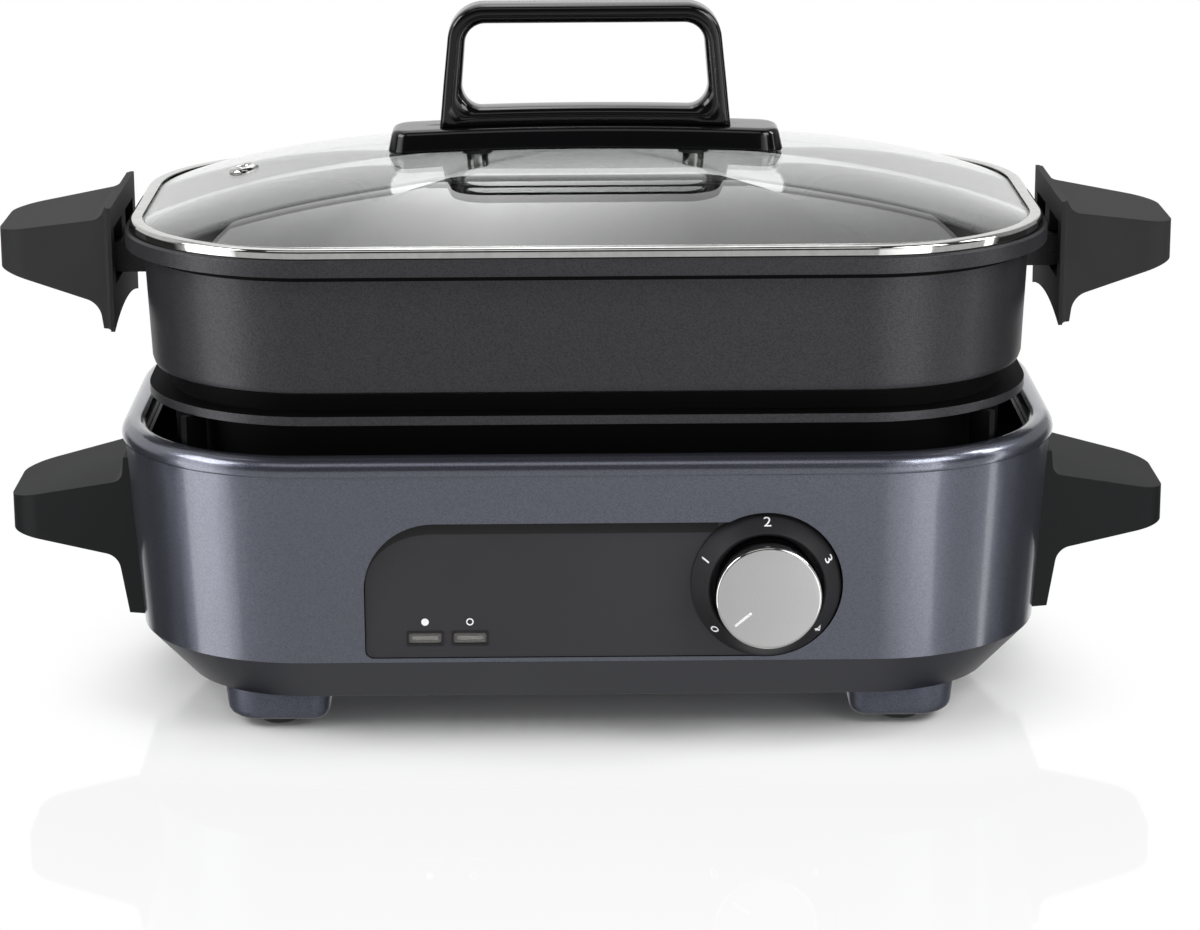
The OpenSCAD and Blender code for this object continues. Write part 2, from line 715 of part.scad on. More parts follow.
// Points of a round of radius r in the corner b, from the side towards a to the side towards c
function unit(v) = v / norm(v);
function half_angle(a, b, c) = acos(unit(a - b) * unit(c - b)) / 2;
function round_touch(a, b, c, r) = b + unit(a - b) * r / tan(half_angle(a, b, c));
function round_centre(a, b, c, r) = b + unit(unit(a - b) + unit(c - b)) * r / sin(half_angle(a, b, c));
function round_points(a, b, c, r, n) =
    let (m = round_centre(a, b, c, r), p = round_touch(a, b, c, r) - m, q = round_touch(c, b, a, r) - m)
    [for (k = [0:n]) m + r * unit(p * (n - k) + q * k)];

// Side view of a handle, in X and Z: leg, underside, tip, top and upright, with rounds at neck and brow
module handle_side(back, foot, neck, low, high, brow, head, neck_r, brow_r)
    polygon(concat([[back, foot[1]], foot], round_points(foot, neck, low, neck_r, 10), [low, high],
        round_points(high, brow, head, brow_r, 8), [head, [back, head[1]]]));

// Plan of a handle: a grip with rounded outer corners that tapers out towards its root
module handle_plan(x0) {
    tip = [handle_reach, 0];
    half_tip = [0, grip_w / 2];
    front = [x0, -grip_half(x0)];
    rear = [x0, grip_half(x0)];
    polygon(concat([front], round_points(front, tip - half_tip, tip, grip_r, 14),
        round_points(tip, tip + half_tip, rear, grip_r, 14), [rear]));
}

// One base handle on the right-hand side, cut to lie against the housing
module base_handle() color(black_plastic) difference() {
    edge_x = body_w / 2;
    intersection() {
        across(-root_w, 2 * root_w) handle_side(root_x,
            foot = [edge_x + 0.34 * root_out, root_low],
            neck = [edge_x + 1.43 * root_out, grip_z - 0.61 * grip_t],
            low = [handle_reach, grip_z - 0.09 * grip_t],
            high = [handle_reach, grip_z + 0.99 * grip_t],
            brow = [edge_x + 0.71 * root_out, grip_z + 1.75 * grip_t],
            head = [edge_x + 0.43 * root_out, root_low + root_h],
            neck_r = 0.5 * grip_t, brow_r = 0.36 * grip_t);
        translate([0, 0, body_z0 - 5]) linear_extrude(housing_h + 5) handle_plan(root_x);
    }
    housing_block(slip_gap);
    for (i = [-1, 1])
        translate([root_x, 0, base_screw_z(i)]) rotate([0, 90, 0])
            cylinder(r = handle_screw_r, h = body_w / 2 - root_x + base_screw_depth(i));
}

module base_handle_left() mirror([1, 0, 0]) base_handle();

module base_handle_right() base_handle();

// Screws from inside the housing into the base handles
module base_handle_screws() color(steel) for (i = [-1, 1], z = [-1, 1]) {
    lean = body_draft * (seam_z - base_screw_z(z) + screw_head_r + 0.4) / housing_h;
    head_x = body_w / 2 - lean - housing_wall - screw_head_h - 0.1;
    translate([i * head_x, 0, base_screw_z(z)]) rotate([0, i * 90, 0]) {
        cylinder(r = screw_head_r, h = screw_head_h);
        cylinder(r = handle_screw_r - 0.05, h = body_w / 2 - head_x + base_screw_depth(z) - 1);
    }
}

// How far the seating flange reaches past the pan's foot, which the ribs carry
function rib_depth() = (ring_w_out / 2 - tray_in) - (pan_w / 2 - neck_in) - 1.8;

// Cast pan: rim band, wall, neck, seating flange and foot, with lugs for the handles
module pan() color(cast_grey) difference() {
    union() {
        carry(pan_w, pan_d, pan_r)
            polygon([[0, rim_z], [0, pan_top - 0.8], [-0.8, pan_top], [slip_gap - lid_in, pan_top],
                [slip_gap - lid_in, pan_top - rebate_h], [-rim_out - pan_wall, pan_top - rebate_h],
                [-bore_in, wall_z + 6], [-floor_in, wall_z - 2], [-floor_in - 2, pan_foot_z + 12],
                [-floor_in - 8, pan_foot_z + 4], [-floor_in - 11, pan_foot_z + 4],
                [-floor_in - 11, pan_foot_z], [-foot_in - 4, pan_foot_z], [-foot_in, pan_foot_z + 4],
                [-neck_in, seat_z], [-flange_in, seat_z], [-flange_in, neck_z], [-neck_in, neck_z],
                [-neck_in, wall_z], [-rim_out - wall_draft - 3, wall_z],
                [-rim_out - wall_draft - 0.8, wall_z + 1], [-rim_out - wall_draft, wall_z + 3.4],
                [-rim_out, rim_z]]);
        translate([0, 0, pan_foot_z])
            plate(pan_w - 2 * (floor_in + 10), pan_d - 2 * (floor_in + 10), pan_r - floor_in - 10, 4);
        for (i = [-1, 1])
            translate([i * (pan_w / 2 - rim_out - wall_draft - pan_wall / 2), -lug_w / 2, lug_z])
                mirror([i < 0 ? 1 : 0, 0, 0])
                    cube([lug_x - pan_w / 2 + rim_out + wall_draft + pan_wall / 2, lug_w, lug_h]);
    }
    for (i = [-1, 1])
        translate([i * handle_screw_x, 0, lug_z - 1]) cylinder(r = handle_screw_r, h = 1 + 0.6 * lug_h);
}

// Lip that flares round the pan handle's mouth, in plan
module mouth_lip() {
    lip_x = mouth_x + 0.12 * grip_t;
    lip = max(0.4, (mouth_w / 2 - grip_half(lip_x)) / (1 - tan(grip_lean))) + 0.2;
    difference() {
        translate([mouth_x - 1, -mouth_w / 2]) square([lip_x + lip - mouth_x + 1, mouth_w]);
        for (j = [-1, 1]) translate([lip_x + lip, j * mouth_w / 2]) circle(lip);
    }
}

// One pan handle on the right-hand side: a hollow moulding with an open mouth and ribs in it
module pan_handle() color(black_plastic) difference() {
    pocket_in = 2 * handle_wall;
    pocket_d = 0.92 * grip_t;
    pocket_w = grip_half(mouth_x + pocket_d) - handle_wall - pocket_in;
    arch_h = 0.1 * mouth_h;
    arch_r = (pow(mouth_w / 2 + 1, 2) + pow(arch_h, 2)) / (2 * arch_h);
    intersection() {
        across(-mouth_w, 2 * mouth_w) handle_side(mouth_x,
            foot = [mouth_x + 0.35 * grip_t, mouth_low],
            neck = [mouth_x + 0.46 * grip_t, pan_grip_z - 0.9 * grip_t],
            low = [handle_reach, pan_grip_z - 0.03 * grip_t],
            high = [handle_reach, pan_grip_z + 1.13 * grip_t],
            brow = [mouth_x + 0.35 * grip_t, pan_grip_z + 1.63 * grip_t],
            head = [mouth_x + 0.2 * grip_t, mouth_high],
            neck_r = 0.6 * grip_t, brow_r = 0.5 * grip_t);
        translate([0, 0, pan_grip_z - mouth_h]) linear_extrude(2 * mouth_h) {
            handle_plan(mouth_x - 1);
            mouth_lip();
        }
    }
    // a shallow arch in the leg's lower edge
    translate([mouth_x - 1, 0, mouth_low + arch_h - arch_r]) rotate([0, 90, 0])
        cylinder(r = arch_r, h = 1 + grip_t);
    // pockets of the mouth beside the lug, with a rib between them
    for (j = [-1, 1])
        translate([mouth_x - 1, j * (pocket_in + pocket_w / 2) - pocket_w / 2, pan_grip_z - 0.4 * grip_t])
            cube([1 + pocket_d, pocket_w, 1.7 * grip_t]);
    translate([mouth_x - 1, -lug_w / 2 - slip_gap, lug_z - slip_gap])
        cube([lug_x - mouth_x + 1 + slip_gap, lug_w + 2 * slip_gap, lug_h + 2 * slip_gap]);
    translate([handle_screw_x, 0, lug_z - through / 2])
        cylinder(r = handle_screw_r + slip_gap, h = through / 2 + 1);
    translate([handle_screw_x, 0, pan_screw_seat - through / 2])
        cylinder(r = screw_head_r + slip_gap, h = through / 2);
}

module pan_handle_left() mirror([1, 0, 0]) pan_handle();

module pan_handle_right() pan_handle();

// Screws up through the pan handles into the lugs
module pan_handle_screws() color(steel) for (i = [-1, 1])
    translate([i * handle_screw_x, 0, pan_screw_seat - screw_head_h]) {
        cylinder(r = screw_head_r, h = screw_head_h);
        cylinder(r = handle_screw_r - 0.05, h = screw_head_h + lug_z - pan_screw_seat + 0.4 * lug_h);
    }

// Outline points of the glass, once round
glass_arc = 8;
glass_side = [4, 8];
function glass_corner(w, d, r, i, k) =
    let (a = 90 * i + 90 * k / glass_arc, sx = (i == 0 || i == 3) ? 1 : -1, sy = i < 2 ? 1 : -1)
    [sx * (w / 2 - r) + r * cos(a), sy * (d / 2 - r) + r * sin(a)];
function glass_outline(w, d, r) = [for (i = [0:3]) each concat(
    [for (k = [0:glass_arc]) glass_corner(w, d, r, i, k)],
    let (p = glass_corner(w, d, r, i, glass_arc), q = glass_corner(w, d, r, (i + 1) % 4, 0),
        n = glass_side[(i + 1) % 2])
    [for (k = [1:n - 1]) p + (q - p) * k / n])];

// Rings from the glass's edge to the dome's crown: share of the outline left, and height below the crown
dome_shares = [1, 0.95, 0.89, 0.82, 0.74, 0.65, 0.55, 0.43, 0.28];
function dome_ring(share, drop) =
    [for (p = glass_outline(lid_w - 2 * dome_in, lid_d - 2 * dome_in, lid_r - dome_in))
        [p[0] * share, p[1] * share, apex_z - dome_h * pow(share, dome_power) - drop]];
function edge_ring(drop) =
    [for (p = glass_outline(lid_w - 2 * glass_in, lid_d - 2 * glass_in, lid_r - glass_in))
        [p[0], p[1], glass_top - drop]];
glass_n = len(edge_ring(0));
glass_rings = concat(
    [for (i = [len(dome_shares) - 1:-1:0]) dome_ring(dome_shares[i], glass_t)],
    [edge_ring(glass_t), edge_ring(0)],
    [for (s = dome_shares) dome_ring(s, 0)]);
glass_last = len(glass_rings) - 1;

// Domed glass, bored for the vent and the handle's screws
module lid_glass() color(glass_tint) difference() {
    polyhedron(
        points = concat([for (ring = glass_rings) each ring], [[0, 0, apex_z - glass_t], [0, 0, apex_z]]),
        faces = concat(
            [for (i = [0:glass_last - 1], k = [0:glass_n - 1], h = [0, 1])
                let (a = i * glass_n + k, b = i * glass_n + (k + 1) % glass_n)
                h == 0 ? [b, a, a + glass_n] : [b, a + glass_n, b + glass_n]],
            [for (k = [0:glass_n - 1]) [(glass_last + 1) * glass_n, k, (k + 1) % glass_n]],
            [for (k = [0:glass_n - 1]) let (s = glass_last * glass_n)
                [(glass_last + 1) * glass_n + 1, s + (k + 1) % glass_n, s + k]]));
    for (i = [-1, 1])
        translate([i * lid_screw_x, 0, apex_z - dome_h]) cylinder(r = lid_screw_r + 0.6, h = 2 * dome_h);
    translate([vent_x, vent_y, vent_z]) rotate([0, -vent_tilt, 0])
        cylinder(r = vent_r, h = 4 * glass_t, center = true);
}

// Bright steel band crimped round the glass
module lid_rim() color(steel) carry(lid_w, lid_d, lid_r) difference() {
    union() {
        translate([-lid_rim_w, lid_z]) square([lid_rim_w - 1.6, lid_rim_h]);
        translate([-1.6, lid_z + 1.6]) square([1.6, lid_rim_h - 3.2]);
        translate([-2, lid_z]) square([0.4, lid_rim_h]);
        translate([-1.6, lid_z + 1.6]) circle(1.6);
        translate([-1.6, lid_z + lid_rim_h - 1.6]) circle(1.6);
    }
    translate([-lid_rim_w - 1, glass_top - glass_t - slip_gap])
        square([lid_rim_w + 1 - lid_rim_t, glass_t + 2 * slip_gap]);
}

// Steam vent: a steel eyelet through the glass
vent_y = 8;
vent_r = 3.6;
vent_flange = 5.2;
vent_bore = 2.4;
vent_x = -vent_share * (lid_w / 2 - dome_in);
vent_z = apex_z - dome_h * pow(vent_share, dome_power) - glass_t / 2;
vent_tilt = atan(dome_power * dome_h * pow(vent_share, dome_power - 1) / (lid_w / 2 - dome_in));
module steam_vent() color(steel) translate([vent_x, vent_y, vent_z]) rotate([0, -vent_tilt, 0])
    difference() {
        union() {
            cylinder(r = vent_r - slip_gap, h = glass_t + 2, center = true);
            for (i = [-1, 1])
                translate([0, 0, i * (glass_t / 2 + 0.9)]) cylinder(r = vent_flange, h = 1, center = true);
        }
        cylinder(r = vent_bore, h = 4 * glass_t, center = true);
    }

// Height of the handle plate's curved underside above the crown's level, and its radius
plate_low = apex_z + 0.5;
plate_sag = dome_h * pow(plate_w / (lid_w - 2 * dome_in), dome_power);
plate_bend = (pow(plate_w / 2, 2) + plate_sag * plate_sag) / (2 * plate_sag);
lid_screw_x = 42;
lid_screw_r = 2;

// Section of the handle plate between two arcs, in X and Z
module plate_arc(low, high) difference() {
    translate([0, plate_low - plate_bend]) circle(plate_bend + high, $fn = 256);
    translate([0, plate_low - plate_bend]) circle(plate_bend + low, $fn = 256);
    translate([-2 * plate_bend, plate_low - 2 * plate_bend - 1]) square([4 * plate_bend, 2 * plate_bend - 20]);
}

// Curved plate that seats the handle on the glass
module lid_handle_plate() color(black_plastic) difference() {
    intersection() {
        across(-plate_d / 2, plate_d) plate_arc(0, plate_t);
        translate([0, 0, plate_low - 20]) plate(plate_w, plate_d, 9, 60);
    }
    for (i = [-1, 1])
        translate([i * lid_screw_x, 0, plate_low - 20]) cylinder(r = lid_screw_r + slip_gap, h = 60);
}

// Outline of the bow, with rounded top corners
bail_z = plate_low + plate_t;
bail_floor = bail_z + 0.8 * plate_t;
module bail_outline() {
    r = 14;
    low = bail_z - 2;
    high = bail_z + bail_h;
    half_high = bail_top_w / 2;
    polygon([[-bail_w / 2, low], [bail_w / 2, low], [half_high, high - r], [-half_high, high - r]]);
    translate([-half_high + r, high - r - 0.01]) square([2 * (half_high - r), r + 0.01]);
    for (i = [-1, 1]) translate([i * (half_high - r), high - r]) circle(r);
}

// Opening of the bow, rounded at all four corners
module bail_opening() {
    r = 8;
    high = bail_z + bail_h - bail_bar;
    half_high = bail_top_w / 2 - bail_side;
    half_low = half_high + (bail_w - bail_top_w) * 0.3;
    polygon([[-half_low, bail_floor + r], [half_low, bail_floor + r], [half_high, high - r],
        [-half_high, high - r]]);
    translate([-half_high + r, high - r - 0.01]) square([2 * (half_high - r), r + 0.01]);
    translate([-half_low + r, bail_floor]) square([2 * (half_low - r), r + 0.01]);
    for (i = [-1, 1]) {
        translate([i * (half_high - r), high - r]) circle(r);
        translate([i * (half_low - r), bail_floor + r]) circle(r);
    }
}

// Bow handle over the lid, seated on the plate
module lid_handle() color(black_plastic) difference() {
    across(-bail_d / 2, bail_d) difference() {
        bail_outline();
        bail_opening();
        translate([0, plate_low - plate_bend]) circle(plate_bend + plate_t + 0.02, $fn = 256);
    }
    for (i = [-1, 1])
        translate([i * lid_screw_x, 0, plate_low]) cylinder(r = lid_screw_r, h = plate_t + 4.8);
}

// Screws up through the glass and the plate into the bow
module lid_screws() color(steel) for (i = [-1, 1])
    translate([i * lid_screw_x, 0, washer_low - screw_head_h]) {
        cylinder(r = screw_head_r + 0.6, h = screw_head_h);
        cylinder(r = lid_screw_r - 0.05, h = plate_low + plate_t + 4 - washer_low + screw_head_h);
    }

// Soft washers between the screw heads and the glass
washer_t = 1.2;
washer_low = apex_z - dome_h * pow((lid_screw_x + 6) / (lid_w / 2 - dome_in), dome_power) - glass_t - 0.2
    - washer_t;
module lid_washers() color(black_plastic) for (i = [-1, 1])
    translate([i * lid_screw_x, 0, washer_low]) difference() {
        cylinder(r = 6, h = washer_t);
        translate([0, 0, -1]) cylinder(r = lid_screw_r + 0.1, h = washer_t + 2);
    }

base_housing();
top_ring();
bottom_cover();
well_tray();
tray_screws();
cover_screws();
foot_blocks();
rubber_feet();
control_panel();
dial_bezel();
power_light();
ready_light();
indicator_board();
thermostat();
thermostat_nut();
thermostat_shaft();
knob_base();
knob_cap();
knob_pointer();
heating_element();
element_clips();
element_insulators();
sensor_guide();
sensor_plunger();
sensor_spring();
thermal_fuse();
terminal_block();
cord_gland();
base_handle_left();
base_handle_right();
base_handle_screws();
pan();
pan_handle_left();
pan_handle_right();
pan_handle_screws();
lid_glass();
lid_rim();
steam_vent();
lid_handle_plate();
lid_handle();
lid_screws();
lid_washers();
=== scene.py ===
# %% [markdown]
# # A countertop multicooker, dressed for a product photograph
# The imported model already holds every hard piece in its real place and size. This lesson turns it
# into a picture: soft edges on the mouldings, a smooth glass dome, metallic paint with flakes, a
# non-stick casting that sparkles, and the light of a white studio.
# Work from the large to the small: camera and light first, then finishes, then piece by piece.

# %% Load the model
import json
import math
import bpy
import bmesh
from mathutils import Matrix, Vector


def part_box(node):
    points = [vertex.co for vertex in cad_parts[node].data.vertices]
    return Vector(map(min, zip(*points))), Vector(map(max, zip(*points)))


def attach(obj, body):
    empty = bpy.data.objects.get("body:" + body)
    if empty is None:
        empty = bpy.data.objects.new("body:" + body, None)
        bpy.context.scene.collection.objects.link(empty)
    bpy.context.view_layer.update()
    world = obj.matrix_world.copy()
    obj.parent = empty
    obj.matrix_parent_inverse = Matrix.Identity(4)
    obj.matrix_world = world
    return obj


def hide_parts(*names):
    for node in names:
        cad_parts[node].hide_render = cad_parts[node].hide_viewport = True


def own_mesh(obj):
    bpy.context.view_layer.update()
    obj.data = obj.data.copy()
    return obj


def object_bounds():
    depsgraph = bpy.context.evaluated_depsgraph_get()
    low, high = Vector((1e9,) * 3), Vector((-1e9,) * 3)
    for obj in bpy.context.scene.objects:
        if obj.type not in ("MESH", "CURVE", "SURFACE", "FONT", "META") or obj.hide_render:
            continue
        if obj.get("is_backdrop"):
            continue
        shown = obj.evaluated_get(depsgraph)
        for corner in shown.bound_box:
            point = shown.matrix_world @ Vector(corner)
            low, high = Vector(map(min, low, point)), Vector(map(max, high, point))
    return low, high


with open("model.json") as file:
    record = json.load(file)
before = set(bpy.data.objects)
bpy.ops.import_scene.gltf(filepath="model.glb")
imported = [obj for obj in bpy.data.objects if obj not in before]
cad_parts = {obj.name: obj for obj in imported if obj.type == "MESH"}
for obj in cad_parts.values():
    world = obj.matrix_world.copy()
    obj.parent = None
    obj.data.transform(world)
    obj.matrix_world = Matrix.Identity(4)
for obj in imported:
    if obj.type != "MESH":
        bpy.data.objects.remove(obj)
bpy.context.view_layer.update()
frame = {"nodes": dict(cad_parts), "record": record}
nodes = frame["nodes"]
record = frame["record"]
body_of_node = {n: body for body, names in record["behaviour"]["bodies"].items() for n in names}
scene = bpy.context.scene
MM = 0.001

# %% [markdown]
# ## Camera
# The photograph is taken with a long lens from a little above the lid. Fitting a camera to the
# rims, feet, knob and handle tips gives its place. A long lens keeps the sides nearly parallel, so the
# object looks as solid as it is. The small shift moves the picture's centre, as cropping did.

# %% Camera
lens = bpy.data.cameras.new("photo_camera")
lens.sensor_width = 36.0
lens.lens = 106.79
lens.shift_x = 0.0133
lens.shift_y = 0.0012
lens.clip_end = 30.0
camera = bpy.data.objects.new("photo_camera", lens)
scene.collection.objects.link(camera)
camera.matrix_world = (Matrix.Translation((-0.0075, -1.3717, 0.4558))
                       @ Matrix.Rotation(math.radians(-0.26), 4, "Z")
                       @ Matrix.Rotation(math.radians(90 - 15.197), 4, "X")
                       @ Matrix.Rotation(math.radians(-0.355), 4, "Z"))
scene.camera = camera
print("camera at", [round(v, 3) for v in camera.matrix_world.translation])

# %% [markdown]
# ## Colour and nodes
# Colours are picked as screen codes, but a renderer adds light in linear values, so every code
# passes through one conversion. One helper adds any shader node, sets its options and joins its
# sockets. With it a finish reads like a recipe, from the pattern down to the surface.

# %% Colour and node helpers
def linear(code):
    parts = [int(code[i:i + 2], 16) / 255 for i in (1, 3, 5)]
    return tuple(c / 12.92 if c <= 0.04045 else ((c + 0.055) / 1.055) ** 2.4 for c in parts) + (1.0,)


def wire(tree, node, sockets):
    for key, value in sockets.items():
        if isinstance(value, bpy.types.NodeSocket):
            tree.links.new(value, node.inputs[key])
        else:
            node.inputs[key].default_value = value


def add(tree, kind, sockets=None, stops=None, **settings):
    node = tree.nodes.new(kind)
    for key, value in settings.items():
        setattr(node, key, value)
    for i, (place, code) in enumerate(stops or []):
        elements = node.color_ramp.elements
        element = elements[i] if i < len(elements) else elements.new(place)
        element.position = place
        element.color = linear(code)
    wire(tree, node, sockets or {})
    return node


def start_material(name):
    material = bpy.data.materials.new(name)
    material.use_nodes = True
    tree = material.node_tree
    place = add(tree, "ShaderNodeTexCoord").outputs["Object"]
    return material, tree, tree.nodes["Principled BSDF"], place


print("mid grey in linear light:", round(linear("#808080")[0], 3))

# %% [markdown]
# ## Studio
# A white sweep, one wide soft box overhead and tall ones at the sides. The overhead box hangs
# behind the lid, because the front of a glass dome mirrors what is above and behind it: that is the
# pale patch on the glass. The tall boxes draw the bright bands down the rounded corners.
# The world is white to the camera. To the rays that mirrors and glass send out it is a room: a white
# sweep below and behind, a dark ceiling and front, and black flags beside the object, which draw the
# dark edges of its corners.

# %% Room that mirrors see
world = bpy.data.worlds.new("white_studio")
scene.world = world
scene.view_settings.view_transform = "Standard"
world.use_nodes = True
sky = world.node_tree
sky.nodes.clear()
path = add(sky, "ShaderNodeLightPath")
mirror = add(sky, "ShaderNodeMath", {0: path.outputs["Is Glossy Ray"],
                                     1: path.outputs["Is Transmission Ray"]}, operation="MAXIMUM")
direction = add(sky, "ShaderNodeTexCoord").outputs["Generated"]
upward = add(sky, "ShaderNodeSeparateXYZ", {0: direction})
level = add(sky, "ShaderNodeVectorMath", {0: direction, 1: (1.0, 1.0, 0.0)}, operation="MULTIPLY")
heading = add(sky, "ShaderNodeVectorMath", {0: level.outputs["Vector"]}, operation="NORMALIZE")
ahead = add(sky, "ShaderNodeSeparateXYZ", {0: heading.outputs["Vector"]})
# 0 is the way to the camera, 0.5 the sides and 1 the back
turn = add(sky, "ShaderNodeMapRange", {"Value": ahead.outputs["Y"], "From Min": -1.0, "From Max": 1.0})
sweep = add(sky, "ShaderNodeValToRGB", {"Fac": turn.outputs["Result"]},
            stops=[(0.0, "#D6D6D6"), (0.45, "#D6D6D6"), (0.53, "#343434"), (0.87, "#343434"),
                   (0.96, "#FFFFFF")])
wall = add(sky, "ShaderNodeValToRGB", {"Fac": upward.outputs["Z"]},
           stops=[(0.0, "#FFFFFF"), (0.51, "#FFFFFF"), (0.55, "#303030"), (1.0, "#2A2A2A")])
aside = add(sky, "ShaderNodeMath", {0: upward.outputs["X"]}, operation="ABSOLUTE")
wing = add(sky, "ShaderNodeMapRange", {"Value": aside.outputs[0], "From Min": 0.26, "From Max": 0.40})
side = add(sky, "ShaderNodeMapRange", {"Value": upward.outputs["X"], "From Min": -1.0, "From Max": 1.0})
wings = add(sky, "ShaderNodeValToRGB", {"Fac": side.outputs["Result"]},
            stops=[(0.3, "#E4E4E4"), (0.7, "#A8A8A8")])
winged = add(sky, "ShaderNodeMixRGB", {"Fac": wing.outputs["Result"], "Color1": wall.outputs["Color"],
                                       "Color2": wings.outputs["Color"]})
behind = add(sky, "ShaderNodeMapRange", {"Value": turn.outputs["Result"], "From Min": 0.45,
                                         "From Max": 0.62})
upper = add(sky, "ShaderNodeMixRGB", {"Fac": behind.outputs["Result"], "Color1": linear("#3C3C3C"),
                                      "Color2": winged.outputs["Color"]})
lower = add(sky, "ShaderNodeMapRange", {"Value": upward.outputs["Z"], "From Min": 0.12,
                                        "From Max": -0.02})
around = add(sky, "ShaderNodeMixRGB", {"Fac": lower.outputs["Result"], "Color1": upper.outputs["Color"],
                                       "Color2": sweep.outputs["Color"]})
print("room nodes:", len(sky.nodes))

# %% World levels
ambient = add(sky, "ShaderNodeBackground", {"Color": linear("#FFFFFF"), "Strength": 0.42})
room = add(sky, "ShaderNodeBackground", {"Color": around.outputs["Color"], "Strength": 1.0})
backdrop = add(sky, "ShaderNodeBackground", {"Color": linear("#FFFFFF"), "Strength": 1.0})
lit = add(sky, "ShaderNodeMixShader", {"Fac": mirror.outputs[0], 1: ambient.outputs[0],
                                       2: room.outputs[0]})
seen = add(sky, "ShaderNodeMixShader", {"Fac": path.outputs["Is Camera Ray"], 1: lit.outputs[0],
                                        2: backdrop.outputs[0]})
add(sky, "ShaderNodeOutputWorld", {"Surface": seen.outputs[0]})
print("world nodes:", len(sky.nodes))

# %% Soft boxes
def soft_box(name, place, target, size, watts, cloth=None):
    """A rectangle of light; cloth gives the brightness of its fabric from left to right."""
    lamp = bpy.data.lights.new(name, "AREA")
    lamp.shape = "RECTANGLE"
    lamp.size, lamp.size_y = size
    lamp.energy = watts
    if cloth:
        lamp.use_nodes = True
        tree = lamp.node_tree
        spot = add(tree, "ShaderNodeNewGeometry").outputs["Parametric"]
        across = add(tree, "ShaderNodeSeparateXYZ", {0: spot})
        fabric = add(tree, "ShaderNodeValToRGB", {"Fac": across.outputs["X"]}, stops=cloth)
        wire(tree, tree.nodes["Emission"], {"Color": fabric.outputs["Color"]})
    box = bpy.data.objects.new(name, lamp)
    scene.collection.objects.link(box)
    aim = (Vector(target) - Vector(place)).to_track_quat("-Z", "Y")
    box.matrix_world = Matrix.Translation(place) @ aim.to_matrix().to_4x4()


soft_box("overhead_box", (0.0, 0.80, 1.35), (0.0, 0.801, 0.0), (1.30, 1.50), 24.0,
         [(0.0, "#989898"), (0.34, "#BCBCBC"), (0.45, "#FFFFFF"), (0.57, "#BCBCBC"), (1.0, "#808080")])
soft_box("left_box", (-1.15, -0.56, 0.15), (-0.104, -0.221, 0.15), (0.75, 1.50), 9.0,
         [(0.0, "#FFFFFF"), (0.6, "#FFFFFF"), (1.0, "#909090")])
soft_box("left_high_box", (-1.03, -0.33, 0.88), (-0.14, -0.09, 0.11), (0.70, 0.50), 8.0)
soft_box("right_box", (0.71, -1.26, 0.15), (0.13, -0.10, 0.15), (0.77, 1.50), 13.0,
         [(0.0, "#707070"), (0.5, "#A8A8A8"), (1.0, "#FFFFFF")])
soft_box("right_strip", (1.24, -0.18, 0.15), (0.15, -0.09, 0.15), (0.14, 1.50), 1.9)
soft_box("right_high_box", (1.07, -0.06, 0.88), (0.15, -0.09, 0.11), (0.24, 0.50), 4.8)
soft_box("right_front_box", (0.81, -0.83, 0.95), (0.13, -0.10, 0.11), (0.60, 0.50), 7.5)
soft_box("front_box", (-0.30, -1.50, 2.10), (0.0, 0.0, 0.10), (1.60, 0.90), 5.0)

# %% [markdown]
# ## Paint and non-stick coating
# Metallic paint holds aluminium flakes at many tilts under a clear coat. Each cell of a fine cell
# pattern gets its own brightness, and a little height, so the surface glitters softly. A non-stick
# coating on cast aluminium has coarser, sparser sparkle in a dark rough film.
# Real flakes are about 0.05 mm; here a cell is 0.3 mm, as coarse as it needs to be to show.

# %% Paint and non-stick coating
def flaked(name, dark, light, flake_mm, depth_um, roughness, **shader):
    material, tree, bsdf, place = start_material(name)
    cells = add(tree, "ShaderNodeTexVoronoi", {"Vector": place, "Scale": 1 / (flake_mm * MM)})
    tone = add(tree, "ShaderNodeSeparateColor", {"Color": cells.outputs["Color"]}).outputs["Red"]
    colour = add(tree, "ShaderNodeValToRGB", {"Fac": tone}, stops=[(0.0, dark), (0.8, light)])
    cloud = add(tree, "ShaderNodeTexNoise", {"Vector": place, "Scale": 1 / (30 * MM), "Detail": 3.0})
    rough = add(tree, "ShaderNodeMapRange", {"Value": cloud.outputs["Fac"], "To Min": roughness - 0.03,
                                             "To Max": roughness + 0.03})
    relief = add(tree, "ShaderNodeBump", {"Height": tone, "Strength": 0.35, "Distance": depth_um * 1e-6})
    wire(tree, bsdf, {"Base Color": colour.outputs["Color"], "Roughness": rough.outputs["Result"],
                      "Normal": relief.outputs["Normal"], **shader})
    return material


# sprayed metallic paint: a soft silky glow that turns bright on corners
metallic_paint = flaked("metallic_paint", "#52545F", "#626571", 0.32, 4, 0.34,
                        **{"Metallic": 0.85, "Coat Weight": 0.8, "Coat Roughness": 0.12})
# the trim ring is rubbed smoother than the housing, so its corners flash
ring_paint = flaked("ring_paint", "#52545F", "#626571", 0.32, 4, 0.26,
                    **{"Metallic": 0.85, "Coat Weight": 0.8, "Coat Roughness": 0.08})
# the feet have the housing's paint without the clear coat, so their edges stay quiet in the shade;
# its colours are darker than the housing's: painted shade for the feet under the base
shaded_foot_paint = flaked("shaded_foot_paint", "#4A4C56", "#5A5D68", 0.32, 4, 0.42,
                    **{"Metallic": 0.6, "Specular IOR Level": 0.15})
# non-stick film on cast aluminium: dark, dry, with pin-points of light
nonstick_film = flaked("nonstick_film", "#262628", "#38383B", 0.38, 12, 0.40, Metallic=0.5)
print("flaked finishes:", metallic_paint.name, nonstick_film.name)

